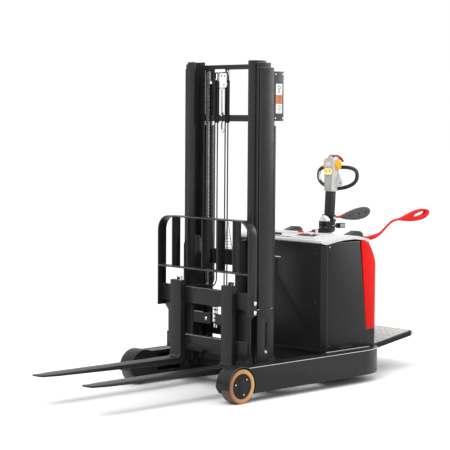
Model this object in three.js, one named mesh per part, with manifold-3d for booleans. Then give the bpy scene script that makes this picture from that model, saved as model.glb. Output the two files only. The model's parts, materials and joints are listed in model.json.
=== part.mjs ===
// Reach walkie stacker with fold-down platform. Millimetres, +X towards the fork tips, +Y to the truck's left, +Z up, floor at Z = 0.
import * as THREE from "three";
import { mergeVertices } from "three/addons/utils/BufferGeometryUtils.js";
import Module from "manifold-3d";

const wasm = await Module();
wasm.setup();

// ---- driving dimensions (lengths along X are measured from the load wheel axle, then moved by SX) ----
const SX = 530;                       // from the axle to the middle of the overall length
const FORK_TIP_X = 1027, ARM_TIP_X = -2087;
const WHEEL_R = 111, WHEEL_W = 84, HUB_R = 79;    // load wheels
const LEG_IN = 412, LEG_OUT = 525, LEG_Z0 = 55, LEG_Z1 = 220, LEG_REAR = -1390;
const FENDER_R = 122.5, POCKET_R = 116.5;
const BODY_HW = 418, BODY_FRONT = -850, BODY_REAR = -1393, SKIN = 8;
const DRIVE_X = -1272, DRIVE_R = 100, DRIVE_W = 74;
const CASTER_X = -1230, CASTER_Y = 290, CASTER_R = 62, CASTER_TRAIL = 30;
const MAST_TOP_OUT = 2098, MAST_TOP_MID = 2129, MAST_TOP_IN = 2142;
const BAR_X0 = -202, BAR_X1 = -167, BAR_HW = 427, LOW_HW = 378, SIDE_HW = 391;
const FORK_Y0 = 195, FORK_Y1 = 295, FORK_TOP = 197, FORK_T = 40, SHANK_X = -123, SHANK_TOP = 707;
const BACK_HW = 435.6, BACK_TOP = 1128, BACK_X0 = -203, BACK_X1 = -132, BACK_T = 8, BACK_MID = 793;
const CYL_X = -461, CYL_Y = 293, CYL_R = 35, ROD_R = 21;
const CHAIN_Y = 208, CHAIN_W = 22, CHAIN_X = -372, PULLEY_R = 34, PULLEY_Z = 2050;
const HOSE_Y = -88, HOSE_X = -382, HOSE_Z = 2037, HOSE_R1 = 37, HOSE_R2 = 62.5, HOSE_D = 9;
const TILLER_X = -1347, TILLER_Z = 1080, TILLER_LEAN = 3.3;
const PLAT_HINGE_X = -1415, PLAT_HINGE_Z = 180, PLAT_TILT = 8.3, PLAT_LEN = 500, PLAT_HW = 310, PLAT_T = 34;
const REACH_Y = 150;
const ARM_Y = 286, ARM_PIVOT_X = -1335, ARM_PIVOT_Z = 968, FAR_ARM_DROP = 1.6;

// ---- helpers ----
const solid = (geo) => {
  const g = geo.index ? geo.toNonIndexed() : geo.clone();
  const m = mergeVertices(new THREE.BufferGeometry().setAttribute("position", g.getAttribute("position")), 1e-3);
  const idx = m.index.array, tri = [];
  for (let i = 0; i < idx.length; i += 3)
    if (idx[i] !== idx[i + 1] && idx[i + 1] !== idx[i + 2] && idx[i] !== idx[i + 2]) tri.push(idx[i], idx[i + 1], idx[i + 2]);
  let man = new wasm.Manifold(new wasm.Mesh({ numProp: 3, vertProperties: m.attributes.position.array, triVerts: new Uint32Array(tri) }));
  if (man.volume() < 0) {
    for (let i = 0; i < tri.length; i += 3) { const t = tri[i + 1]; tri[i + 1] = tri[i + 2]; tri[i + 2] = t; }
    man = new wasm.Manifold(new wasm.Mesh({ numProp: 3, vertProperties: m.attributes.position.array, triVerts: new Uint32Array(tri) }));
  }
  return man;
};
const geoOf = (man) => {
  const mesh = man.getMesh(), n = mesh.numProp, v = new Float32Array(mesh.numVert * 3);
  for (let i = 0; i < mesh.numVert; i++) v.set(mesh.vertProperties.subarray(i * n, i * n + 3), i * 3);
  const g = new THREE.BufferGeometry();
  g.setAttribute("position", new THREE.BufferAttribute(v, 3));
  g.setIndex(new THREE.BufferAttribute(mesh.triVerts, 1));
  g.computeVertexNormals();
  return g;
};
const join = (...list) => wasm.Manifold.union(list.flat());
const cut = (a, ...list) => wasm.Manifold.difference([a, ...list.flat()]);
const meet = (...list) => wasm.Manifold.intersection(list.flat());
const box = (x0, x1, y0, y1, z0, z1) => {
  const g = new THREE.BoxGeometry(Math.abs(x1 - x0), Math.abs(y1 - y0), Math.abs(z1 - z0));
  g.translate((x0 + x1) / 2, (y0 + y1) / 2, (z0 + z1) / 2);
  return solid(g);
};
const shapeOf = (pts) => new THREE.Shape(pts.map((p) => new THREE.Vector2(p[0], p[1])));
// profile given as [x, z], pushed along Y
const extXZ = (pts, y0, y1) => {
  const g = new THREE.ExtrudeGeometry(shapeOf(pts), { depth: y1 - y0, bevelEnabled: false, curveSegments: 8 });
  g.rotateX(Math.PI / 2);            // (x, y, z) -> (x, -z, y)
  g.translate(0, y1, 0);
  return solid(g);
};
// profile given as [x, y], pushed along Z
const extXY = (pts, z0, z1) => {
  const g = new THREE.ExtrudeGeometry(shapeOf(pts), { depth: z1 - z0, bevelEnabled: false, curveSegments: 8 });
  g.translate(0, 0, z0);
  return solid(g);
};
// profile given as [y, z], pushed along X
const extYZ = (pts, x0, x1) => {
  const g = new THREE.ExtrudeGeometry(shapeOf(pts), { depth: x1 - x0, bevelEnabled: false, curveSegments: 8 });
  g.rotateX(Math.PI / 2);
  g.rotateZ(Math.PI / 2);            // (y, z) profile in place, depth along X
  g.translate(x0, 0, 0);
  return solid(g);
};
const cyl = (r, len, axis, x, y, z, seg = 28, r2 = r) => {
  const g = new THREE.CylinderGeometry(r2, r, len, seg);
  if (axis === "x") g.rotateZ(-Math.PI / 2);
  if (axis === "z") g.rotateX(Math.PI / 2);
  g.translate(x, y, z);
  return solid(g);
};
// profile [radius, along] turned about the Y axis through (x, z)
const lathe = (pts, x, y, z, seg = 32, axis = "y") => {
  const g = new THREE.LatheGeometry(pts.map((p) => new THREE.Vector2(p[0], p[1])), seg);
  if (axis === "z") g.rotateX(Math.PI / 2);
  if (axis === "x") g.rotateZ(-Math.PI / 2);
  g.translate(x, y, z);
  return solid(g);
};
const arc = (cx, cy, r, a0, a1, n, ry = r) => {
  const out = [];
  for (let i = 0; i <= n; i++) {
    const a = ((a0 + ((a1 - a0) * i) / n) * Math.PI) / 180;
    out.push([cx + r * Math.cos(a), cy + ry * Math.sin(a)]);
  }
  return out;
};
const circleSec = (r, n = 10) => arc(0, 0, r, 0, 360 - 360 / n, n - 1);
const rectSec = (a, b) => [[-a / 2, -b / 2], [a / 2, -b / 2], [a / 2, b / 2], [-a / 2, b / 2]];
// a section carried along points; ref is the direction the section's first axis keeps to
const sweep = (pts, sec, ref, closed = false, scale = null) => {
  const P = pts.map((p) => new THREE.Vector3(...p)), n = P.length, m = sec.length, pos = [], idx = [];
  for (let i = 0; i < n; i++) {
    const a = closed ? P[(i + n - 1) % n] : P[Math.max(i - 1, 0)], b = closed ? P[(i + 1) % n] : P[Math.min(i + 1, n - 1)];
    const T = b.clone().sub(a).normalize(), N = new THREE.Vector3(...ref);
    N.addScaledVector(T, -N.dot(T)).normalize();
    const B = T.clone().cross(N), k = scale ? scale[i] : [1, 1];
    for (const s of sec) pos.push(P[i].clone().addScaledVector(N, s[0] * k[0]).addScaledVector(B, s[1] * k[1]));
  }
  const last = closed ? n : n - 1;
  for (let i = 0; i < last; i++) for (let j = 0; j < m; j++) {
    const a = i * m + j, b = i * m + ((j + 1) % m), c = ((i + 1) % n) * m + ((j + 1) % m), d = ((i + 1) % n) * m + j;
    idx.push(a, b, c, a, c, d);
  }
  if (!closed) for (let j = 1; j < m - 1; j++) {
    idx.push(0, j + 1, j);
    const e = (n - 1) * m;
    idx.push(e, e + j, e + j + 1);
  }
  const g = new THREE.BufferGeometry();
  g.setAttribute("position", new THREE.BufferAttribute(new Float32Array(pos.flatMap((v) => [v.x, v.y, v.z])), 3));
  g.setIndex(idx);
  return solid(g);
};
const curve = (pts, n) => new THREE.CatmullRomCurve3(pts.map((p) => new THREE.Vector3(...p)), false, "centripetal").getPoints(n).map((v) => [v.x, v.y, v.z]);

const root = new THREE.Group();
root.name = "reach_walkie_stacker";
const add = (name, man, color, roughness = 0.5, metalness = 0.2) => {
  const n = man.decompose().length;
  if (n !== 1) console.log("BODIES", name, n);
  const mesh = new THREE.Mesh(geoOf(man.translate([SX, 0, 0])), new THREE.MeshStandardMaterial({ color, roughness, metalness }));
  mesh.name = name;
  root.add(mesh);
};
const BLACK = 0x2b2d2f, STEEL = 0xb9bcc0, CHROME = 0xd9dbde, RED = 0xe0262b, TAN = 0xd99a5b, WHITE = 0xe9eaec, GREY = 0x8d9094, RUBBER = 0x1d1d1f, YELLOW = 0xf0b429;

// ---- legs ----
const legPlan = [[140, LEG_IN], [140, LEG_OUT], [-1147, LEG_OUT], ...arc(-1147, 373, 243, 90, 180, 10, 152).slice(1), [LEG_REAR, 300], [-1150, 300], [-1150, LEG_IN]];
const legSide = [...arc(0, WHEEL_R, FENDER_R, -2.8, 117.2, 14), [LEG_REAR - 5, LEG_Z1], [LEG_REAR - 5, LEG_Z0], [70, LEG_Z0], [100, 70]];
const makeLeg = () => {
  let leg = meet(extXY(legPlan, 40, 240), extXZ(legSide, 290, 530));
  leg = cut(leg,
    cyl(POCKET_R, 110, "y", 0, 434 + 55, WHEEL_R, 48),                    // wheel pocket, open on the outside
    box(-870, -118, LEG_IN - 2, 508, 78, 198),                            // roller channel
    box(-1149, -1100, 300, 411, 30, 250),
    cyl(127, 400, "z", CASTER_X, CASTER_Y, 0, 40),                         // caster sweep
    cyl(20.5, 60, "z", CASTER_X, CASTER_Y, 205, 20),
  );
  return join(leg, cyl(13, 90, "y", 0, 471, WHEEL_R, 20));
};
const leg = makeLeg();
add("leg_left", leg, BLACK, 0.35, 0.3);
add("leg_right", leg.mirror([0, 1, 0]), BLACK, 0.35, 0.3);

// ---- load wheels: tyre with a bolted hub ----
const tyre = lathe([[HUB_R + 0.4, -WHEEL_W / 2], [WHEEL_R - 5, -WHEEL_W / 2], [WHEEL_R, -WHEEL_W / 2 + 6], [WHEEL_R, WHEEL_W / 2 - 6], [WHEEL_R - 5, WHEEL_W / 2], [HUB_R + 0.4, WHEEL_W / 2], [HUB_R + 0.4, -WHEEL_W / 2]], 0, 482, WHEEL_R, 48);
let hub = lathe([[14, -36], [HUB_R, -36], [HUB_R, 35], [HUB_R - 7, 38], [36, 38], [32, 41.5], [0, 41.5], [0, 38], [14, 38], [14, -36]], 0, 482, WHEEL_R, 36);
hub = join(hub, ...[15, 135, 255].map((a) => cyl(7, 6, "y", 56 * Math.cos((a * Math.PI) / 180), 482 + 38, WHEEL_R + 56 * Math.sin((a * Math.PI) / 180), 10)));
add("load_tyre_left", tyre, TAN, 0.6, 0);
add("load_tyre_right", tyre.mirror([0, 1, 0]), TAN, 0.6, 0);
add("load_hub_left", hub, BLACK, 0.45, 0.4);
add("load_hub_right", hub.mirror([0, 1, 0]), BLACK, 0.45, 0.4);

// ---- chassis frame between the legs ----
let frame = join(
  box(-1384, -862, -411.5, 411.5, 200, 219.6),
  box(-884, -862, -411.5, 411.5, 60, 205),
  box(-1389.5, -1383, -299.6, 299.6, 60, 219.6),
  box(-1400, -1383, -215, -185, 150, 205), box(-1400, -1383, 185, 215, 150, 205),
);
frame = cut(frame,
  cyl(105, 60, "z", DRIVE_X, 0, 205, 40),
  cyl(22.4, 40, "x", -873, REACH_Y, 138, 24),
  ...[1, -1].map((s) => box(-1420, -1149.7, s > 0 ? 299.6 : -430, s > 0 ? 430 : -299.6, 50, 240)),
  box(-1150.2, -1100, 410, 430, 50, 240), box(-1150.2, -1100, -430, -410, 50, 240),
  cyl(20, 60, "z", CASTER_X, CASTER_Y, 205, 20), cyl(20, 60, "z", CASTER_X, -CASTER_Y, 205, 20),
);
frame = join(frame, ...[1, -1].map((s) => join(
  cyl(13, 34, "y", PLAT_HINGE_X, s * 200, PLAT_HINGE_Z, 18),
  box(-1418, -1395, s * 200 - 15, s * 200 + 15, PLAT_HINGE_Z - 10, PLAT_HINGE_Z + 10),
)));
add("chassis_frame", frame, BLACK, 0.5, 0.4);

// ---- drive unit: gearbox, motor, tiller base turn together about the steering axis ----
let gearbox = join(
  cyl(110, 18, "z", DRIVE_X, 0, 229, 40),
  box(DRIVE_X - 55, DRIVE_X + 55, DRIVE_W / 2 + 3, 86, 62, 222),
  cyl(55, 86 - DRIVE_W / 2 - 3, "y", DRIVE_X, (DRIVE_W / 2 + 3 + 86) / 2, DRIVE_R, 32),
  cyl(15, 84, "y", DRIVE_X, 8, DRIVE_R, 18),
);
gearbox = cut(gearbox, box(DRIVE_X - 70, DRIVE_X + 70, 30, 100, 30, 60));
add("drive_gearbox", gearbox, GREY, 0.5, 0.6);
let motor = join(cyl(80, 270, "z", DRIVE_X, 0, 373.3, 40), cyl(60, 30, "z", DRIVE_X, 0, 520, 32), box(DRIVE_X - 18, DRIVE_X + 18, 70, 103, 430, 480));
add("drive_motor", motor, 0x3a3d42, 0.5, 0.5);
const driveWheel = lathe([[17, -DRIVE_W / 2], [DRIVE_R - 4, -DRIVE_W / 2], [DRIVE_R, -DRIVE_W / 2 + 5], [DRIVE_R, DRIVE_W / 2 - 5], [DRIVE_R - 4, DRIVE_W / 2], [17, DRIVE_W / 2], [17, -DRIVE_W / 2]], DRIVE_X, 0, DRIVE_R, 44);
add("drive_wheel", driveWheel, TAN, 0.6, 0);

const base = join(
  cyl(27, 470, "z", DRIVE_X, 0, 535.3 + 235, 24),
  cyl(78, 14, "z", DRIVE_X - 12, 0, 992, 32),
  box(-1357, -1291, -47, 47, 990, 1060),
  box(-1363, -1325, 31, 49, 1055, 1103), box(-1363, -1325, -49, -31, 1055, 1103),
  (() => { const g = new THREE.SphereGeometry(1, 24, 14); g.scale(24, 44, 40); g.translate(-1300, 0, 1060); return solid(g); })(),
  cyl(8, 112, "x", -1400, 0, 1021, 16),
  box(-1492, -1436, -20, 20, 1004, 1038),
);
add("tiller_base", base, BLACK, 0.45, 0.3);

// ---- casters ----
for (const [side, s] of [["left", 1], ["right", -1]]) {
  const y = s * CASTER_Y, wx = CASTER_X - CASTER_TRAIL;
  let fork = join(
    cyl(44, 12, "z", CASTER_X, y, 193.5, 28), cyl(17, 30, "z", CASTER_X, y, 203, 20),
    box(wx - 22, CASTER_X + 30, y - 31, y - 24, CASTER_R - 18, 190), box(wx - 22, CASTER_X + 30, y + 24, y + 31, CASTER_R - 18, 190),
    box(wx - 22, CASTER_X + 40, y - 31, y + 31, 180, 190),
    cyl(9, 60, "y", wx, y, CASTER_R, 16),
  );
  add(`caster_fork_${side}`, fork, STEEL, 0.4, 0.7);
  add(`caster_wheel_${side}`, lathe([[10, -20], [CASTER_R - 4, -20], [CASTER_R, -16], [CASTER_R, 16], [CASTER_R - 4, 20], [10, 20], [10, -20]], wx, y, CASTER_R, 32), RUBBER, 0.7, 0);
}

// ---- body covers: one hull, hollowed, then parted ----
const TOPLINE = [[-850, 940], [-858, 930], [-970, 955], [-1049, 963], [-1149, 965], [-1251, 953], [-1293, 935]];
const bodySide = (d) => [[BODY_FRONT - d, 222 + d * 0], [BODY_FRONT - d, 951], [-1293, 951], [-1293 + d, 935], [-1325 + d, 889], [-1363 + d, 811], [-1379 + d, 783], [BODY_REAR + d, 347], [BODY_REAR + d, 222]];
const bodyPlan = (d) => {
  const hw = BODY_HW - d, f = BODY_FRONT - d, r = BODY_REAR + d, c = 30, q = 45 - d;
  return [[f, -hw + c], [f, hw - c], [f - c, hw], ...arc(r + q, hw - q, q, 90, 180, 6), ...arc(r + q, -hw + q, q, 180, 270, 6), [f - c, -hw]];
};
const outerHull = meet(extXZ(bodySide(0), -430, 430), extXY(bodyPlan(0), 200, 1100));
const innerHull = meet(extXZ([[BODY_FRONT - SKIN, 190], [BODY_FRONT - SKIN, 1200], [-1270, 1200], [-1285, 930], [-1317, 885], [-1355, 808], [-1371, 781], [BODY_REAR + SKIN, 346], [BODY_REAR + SKIN, 190]], -430, 430), extXY(bodyPlan(SKIN), 180, 1200));
let shell = cut(outerHull, innerHull);
// everything above the cover's lower edge is taken off
const capTop = [...TOPLINE, [-1310, 925], [-1310, 1300], [-800, 1300], [-800, 940]];
shell = cut(shell, extXZ(capTop, -500, 500));
shell = join(shell, box(-858, -850, -385, 385, 925, 944));
const frontZone = box(-881, -700, -600, 600, 100, 1200);
add("front_cover", cut(meet(shell, frontZone), box(-852, -849, -13, -10.5, 720, 820), box(-852.2, -849, -200, 315, 232, 234.5)), BLACK, 0.35, 0.2);
const redZone = [[-1200.7, 960], [-1279, 345.5], [-1450, 345.5], [-1450, 960]];
const redCut = extXZ(redZone, 230, 600);
const redKeep = extXZ([[-1201.4, 1100], [-1279.4, 346], [-1450, 346], [-1450, 1100]], 230.3, 600);
const back = meet(shell, box(-1500, -881.4, -600, 600, 100, 1200));
const rearZone = box(-1500, -1250, -229.7, 229.7, 100, 1200);
const sideCover = cut(meet(back, box(-1500, -800, 230, 600, 100, 1200)), redCut);
add("side_cover_left", sideCover, BLACK, 0.35, 0.2);
add("side_cover_right", sideCover.mirror([0, 1, 0]), BLACK, 0.35, 0.2);
const red = meet(back, redKeep);
add("corner_panel_left", red, RED, 0.35, 0.1);
add("corner_panel_right", red.mirror([0, 1, 0]), RED, 0.35, 0.1);
add("rear_cover", cut(meet(back, rearZone), cyl(32, 200, "z", DRIVE_X, 0, 950, 28)), BLACK, 0.4, 0.2);

// ---- top cover with a raised rear and the arm brackets ----
const LOW = [[-846, 952], [-870, 940], [-970, 955.6], [-1049, 963.6], [-1149, 965.6], [-1251, 953.6], [-1293, 935.6], [-1310, 926]];
const coverSide = [...LOW, [-1318, 940], [-1293, 960], [-1200, 982], [-1120, 992], [-1000, 988], [-900, 972], [-846, 966]];
const coverPlan = (() => {
  const hw = BODY_HW + 1, f = -846, c = 30;
  return [[f, -hw + c], [f, hw - c], [f - c, hw], [-1300, hw], [-1318, hw - 25], [-1318, -hw + 25], [-1300, -hw], [f - c, -hw]];
})();
let cover = meet(extXZ(coverSide, -430, 430), extXY(coverPlan, 900, 1100));
cover = join(cover, box(-1316, -1240, -60, 60, 942, 982));
for (const s of [1, -1]) {
  cover = join(cover, extXZ([[-1185, 978], [-1285, 1009], [-1325, 1006], [-1350, 990], [-1357, 962], [-1350, 938], [-1306, 936.5], [-1252, 957], [-1200, 960]], s > 0 ? 262 : -312, s > 0 ? 312 : -262));
  cover = cut(cover, box(-1380, -1312, s * ARM_Y - 10, s * ARM_Y + 10, 920, 1030));
  cover = cut(cover, box(-1380, -1350, s * ARM_Y - 14, s * ARM_Y + 14, 920, 1030));
}
cover = cut(cover,
  cyl(31, 200, "z", DRIVE_X, 0, 950, 28),
  box(-905, -886, -300, 60, 962, 1000),                 // long recess behind the front lip
  box(-1000, -984, -120, 110, 982, 1010),
  cyl(21, 60, "z", -1060, 0, 985, 24),                  // emergency stop well
  cyl(9.6, 60, "z", -1090, 120, 985, 18),
);
add("top_cover", cover, WHITE, 0.4, 0.1);
add("emergency_stop", join(cyl(9, 26, "z", -1060, 0, 975, 16), lathe([[0, 0], [20, 0], [20, 6], [17, 12], [8, 15], [0, 15]], -1060, 0, 988, 24, "z")), RED, 0.4, 0.1);
add("key_switch", join(cyl(9, 24, "z", -1090, 120, 983, 16), box(-1102, -1078, 118.2, 121.8, 994, 1014)), CHROME, 0.3, 0.8);

// ---- inside the body ----
let battery = join(box(-1060, -872, -380, 380, 220, 880), box(-1040, -1010, -340, -300, 875, 905), box(-1040, -1010, 300, 340, 875, 905), box(-980, -950, -120, 120, 875, 898));
battery = cut(battery, box(-1062, -866, -90, 90, 850, 866));
add("battery", battery, 0x33404c, 0.6, 0.1);
const hydro = join(box(-1330, -1085, -392, -235, 220, 600), cyl(58, 280, "z", -1150, -190, 360, 32), box(-1210, -1100, -245, -150, 290, 350), cyl(20, 30, "z", -1290, -310, 612, 18));
add("hydraulic_unit", hydro, 0x4a4f55, 0.5, 0.4);
const controller = join(box(-1330, -1100, 330, 392, 220, 540), ...[0, 1, 2, 3, 4, 5].map((i) => box(-1325 + i * 38, -1313 + i * 38, 305, 332, 260, 520)));
add("controller", controller, 0x6b7076, 0.5, 0.6);

// ---- tiller arm, head, ring and controls, built upright then leaned back ----
const lean = (man) => man.rotate([0, -TILLER_LEAN, 0]).translate([TILLER_X, 0, TILLER_Z]);
const tube = join(cyl(17, 61, "y", 0, 0, 0, 22), extXZ([[-17, -4], [17, -4], [25, 26], [25, 186], [-25, 186], [-25, 26]], -27, 27));
add("tiller_tube", lean(cut(tube, box(-26, 26, 28, 40, -30, 0))), BLACK, 0.4, 0.3);
let head = join(
  extXZ([[29, 186.4], [31, 210], [33, 300], [36, 350], [36, 395], [28, 418], [8, 428], [-18, 424], [-30, 404], [-32, 360], [-30, 300], [-28, 240], [-27, 186.4]], -46, 46),
);
head = meet(head, extYZ([[-34, 180], [34, 180], [36, 240], [40, 330], [40, 400], [33, 440], [-33, 440], [-40, 400], [-40, 330], [-36, 240]], -100, 100));
head = join(head, box(-57, -20, -20, 20, 196, 216), box(-57, -20, -20, 20, 346, 366));
head = cut(head,
  cyl(7.4, 200, "y", -6, 0, 388, 18),
  cyl(9.4, 30, "x", 34, 17, 330, 18), cyl(9.4, 30, "x", 34, -17, 330, 18),
  box(-50, 22, -27, 27, 413, 440),
  box(-24, -2, -9, 9, 402, 440),
);
add("handle_head", lean(head), 0xc9cbce, 0.45, 0.1);
const ringPts = [];
for (let i = 0; i < 40; i++) {
  const a = (i / 40) * 2 * Math.PI, c = Math.cos(a), s = Math.sin(a);
  const y = 182 * Math.sign(c) * Math.pow(Math.abs(c), 0.85), z = 281 + 75 * Math.sign(s) * Math.pow(Math.abs(s), 0.75);
  ringPts.push([-51 - 14 * Math.abs(c), y, z + 20 * Math.abs(c)]);
}
let ring = sweep(ringPts, circleSec(13.5, 10), [1, 0, 0], true);
ring = cut(ring, join(box(-57.4, -20, -20.4, 20.4, 195.6, 216.4), box(-57.4, -20, -20.4, 20.4, 345.6, 366.4)));
add("handle_ring", lean(ring), RUBBER, 0.5, 0.1);
const throttle = join(
  cyl(6.8, 150, "y", -6, 0, 388, 18),
  ...[1, -1].map((s) => extXZ([[-20, 350], [4, 341], [14, 366], [12, 400], [-2, 412], [-18, 404], [-25, 376]], s > 0 ? 42 : -70, s > 0 ? 70 : -42)),
);
add("throttle_wings", lean(throttle), YELLOW, 0.4, 0.1);
const belly = join(sweep(curve([[14, 0, 432], [-18, 0, 441], [-52, 0, 434], [-80, 0, 418], [-95, 0, 398]], 12), rectSec(50, 6), [0, 1, 0]), box(-20, -6, -7, 7, 410, 440));
add("belly_switch", lean(belly), RED, 0.4, 0.1);
add("lift_button", lean(cyl(8.8, 16, "x", 34.5, 17, 330, 18)), BLACK, 0.4, 0.1);
add("lower_button", lean(cyl(8.8, 16, "x", 34.5, -17, 330, 18)), BLACK, 0.4, 0.1);

// ---- platform ----
const ca = Math.cos((PLAT_TILT * Math.PI) / 180), sa = Math.sin((PLAT_TILT * Math.PI) / 180);
let plat = extXY([[-22, -PLAT_HW], [-22, PLAT_HW], ...arc(-PLAT_LEN + 30, PLAT_HW - 30, 30, 90, 180, 4), ...arc(-PLAT_LEN + 30, -PLAT_HW + 30, 30, 180, 270, 4)], -PLAT_T + 15, 15);
plat = join(plat, cyl(12, 2 * PLAT_HW - 20, "y", 0, 0, 0, 18), box(-30, 0, -PLAT_HW + 10, PLAT_HW - 10, -11, 11));
plat = cut(plat, ...[1, -1].map((s) => box(-26, 30, s * 200 - 18, s * 200 + 18, -40, 40)));
plat = plat.rotate([0, PLAT_TILT, 0]).translate([PLAT_HINGE_X, 0, PLAT_HINGE_Z]);
add("platform", plat, 0x3b3d3f, 0.7, 0.1);

// ---- side arms ----
const armMid = curve([[ARM_PIVOT_X, 0, ARM_PIVOT_Z], [-1385, 0, 958], [-1441, 0, 951], [-1505, 0, 960], [-1561, 0, 978], [-1625, 0, 1020], [-1687, 0, 1056], [-1735, 0, 1066], [-1785, 0, 1070]], 26);
const armTubeScale = armMid.map((p, i) => { const t = i / 26; const w = Math.exp(-Math.pow((t - 0.32) / 0.14, 2)); return [1 + 0.15 * w, 1 + 1.0 * w]; });
const paddleMid = (() => {
  const out = [];
  const L = 325, x0 = ARM_TIP_X + 325;
  for (let i = 0; i <= 44; i++) {
    const a = (i / 44) * 2 * Math.PI, c = Math.cos(a), s = Math.sin(a);
    const u = (1 - c) / 2, half = 15 + 36 * Math.pow(u, 0.8);
    out.push([u * L, Math.sign(s) * Math.sqrt(Math.max(0, 4 * u * (1 - u))) * half]);
  }
  return out.slice(0, 44);
})();
const arm = (() => {
  const outline = paddleMid.map(([u, h]) => [ARM_TIP_X + 325 - u, 1064 + u * 0.13 + h]);
  const paddle = extXZ(outline, -12, 12);
  const slot = extXZ([[-1905, 1080], [-1960, 1082], [-2020, 1094], [-2052, 1112], [-2030, 1120], [-1975, 1112], [-1925, 1098]], -20, 20);
  const t = sweep(armMid, circleSec(8.5, 10), [0, 1, 0], false, armTubeScale);
  const boss = cyl(15, 19, "y", ARM_PIVOT_X, 0, ARM_PIVOT_Z, 20);
  return join(cut(paddle, slot), t, boss);
})();
add("side_arm_left", arm.translate([0, ARM_Y, 0]), RED, 0.4, 0.1);
add("side_arm_right", arm.translate([-ARM_PIVOT_X, 0, -ARM_PIVOT_Z]).rotate([0, -FAR_ARM_DROP, 0]).translate([ARM_PIVOT_X, -ARM_Y, ARM_PIVOT_Z]), RED, 0.4, 0.1);

// ---- reach carriage that carries the mast along the legs ----
const both = (f) => [1, -1].flatMap((s) => f(s));
const sy = (s, a, b) => (s > 0 ? [a, b] : [-b, -a]);
let reach = join(
  box(-500, -427, -358, 358, 62, 106),
  ...both((s) => {
    const [a, b] = sy(s, 358.6, 364), [c, d] = sy(s, 362, 398), [e, f] = sy(s, 340, 400);
    return [
      extXZ([[-285, 217], [-285, 551], [-431, 551], [-431, 250], [-446, 225], [-446, 66], [-285, 66]], a, b),
      box(-560, -300, c, d, 84, 192),
      box(-520, -430, e, f, 62, 106),
      cyl(54, 96, "y", -375, s * 446, 138, 30), cyl(54, 96, "y", -505, s * 446, 138, 30),
    ];
  }),
);
reach = cut(reach, ...both((s) => { const [a, b] = sy(s, 340, 365); return [extXZ([[-349, 305], [-353, 296], [-360, 294], [-367, 296], [-371, 305], [-371, 457], [-367, 466], [-360, 468], [-353, 466], [-349, 457]], a, b), cyl(6, 60, "y", -360, s * 362, 272, 14)]; }));
reach = join(reach, box(-560, -498, REACH_Y - 20, REACH_Y + 20, 66, 160));
add("reach_carriage", reach, BLACK, 0.45, 0.4);
add("reach_cylinder_barrel", cut(cyl(22, 512, "x", -1122, REACH_Y, 138, 26), cyl(14, 506, "x", -1115, REACH_Y, 138, 22)), STEEL, 0.4, 0.7);

// ---- outer mast ----
const outer = join(...both((s) => {
  const [a, b] = sy(s, 347, 358), [c, d] = sy(s, 288, 350), [e, f] = sy(s, 322, 350);
  return [box(-423, -303, a, b, 106.4, MAST_TOP_OUT), box(-423, -411, c, d, 106.4, MAST_TOP_OUT)];
}), box(-423, -411, -300, 300, 803, 904), box(-423, -411, -300, 300, 110, 200));
add("outer_mast", outer, BLACK, 0.35, 0.4);
const barrel = (s) => cut(cyl(CYL_R, 1616, "z", CYL_X, s * CYL_Y, 106.4 + 808, 28), cyl(25, 1620, "z", CYL_X, s * CYL_Y, 125 + 810, 24));
add("lift_barrel_left", barrel(1), BLACK, 0.4, 0.4);
add("lift_barrel_right", barrel(-1), BLACK, 0.4, 0.4);
add("label_plate", join(box(-511, -423.4, 353.6, 357.6, 1757, 2074)), WHITE, 0.5, 0);

// ---- middle mast ----
const middle = join(...both((s) => {
  const [a, b] = sy(s, 333.5, 343.5), [c, d] = sy(s, 322.5, 335), [e, f] = sy(s, 236, 285.5), [g, h] = sy(s, 270, 322);
  return [box(-409.5, -296, a, b, 112, MAST_TOP_MID), box(-310, -296, c, d, 112, MAST_TOP_MID), box(-409.5, -393, c, d, 112, MAST_TOP_MID),
    box(-480, -405, e, f, 1768, 1790), box(-484, -428, g, h, 1768, 1790)];
}), box(-409.5, -400.5, -336, 336, 1752, 1795), box(-409.5, -400.5, -336, 336, 330, 410));
add("middle_mast", middle, BLACK, 0.35, 0.4);
const rod = (s) => cyl(ROD_R, 1577, "z", CYL_X, s * CYL_Y, 190.6 + 788.5, 24);
add("lift_rod_left", rod(1), CHROME, 0.15, 0.95);
add("lift_rod_right", rod(-1), CHROME, 0.15, 0.95);

// ---- inner mast ----
let inner = join(...both((s) => {
  const [a, b] = sy(s, 308, 320), [c, d] = sy(s, 257, 310);
  const [p, q] = sy(s, 190, 195), [r, t] = sy(s, 221, 226);
  return [box(-389, -289, a, b, 152, MAST_TOP_IN), box(-301, -289, c, d, 152, MAST_TOP_IN), box(-389, -377, c, d, 152, MAST_TOP_IN),
    extXZ([[-389, 2110], [-430, 2075], [-430, 2035], [-389, 2035]], p, q), extXZ([[-389, 2110], [-430, 2075], [-430, 2035], [-389, 2035]], r, t),
    cyl(8, 34, "y", CHAIN_X - PULLEY_R, s * CHAIN_Y, PULLEY_Z, 14)];
}),
  box(-399, -387, -312, 312, 2090, 2122), box(-399, -387, -312, 312, 1754, 1787), box(-399, -387, -312, 312, 160, 240),
  box(-399, -394, -257, -168, 1780, 2095),
  box(-398, -393, HOSE_Y - 56, HOSE_Y + 56, 1968, 2095),
  cyl(7, 14, "x", -388, HOSE_Y, HOSE_Z, 14),
  cyl(6, 24, "z", -393, HOSE_Y, 1799, 12),
);
inner = cut(inner, box(-402, -389.6, -221.5, -194.5, 2000, 2096));
inner = join(inner, box(-399, -394, -300, -168, 1780, 1800), ...[190, 221].flatMap((v) => [1, -1].map((s) => box(-399, -389.5, s > 0 ? v : -v - 5, s > 0 ? v + 5 : -v, 2033, 2095))));
add("inner_mast", inner, BLACK, 0.35, 0.4);
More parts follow.
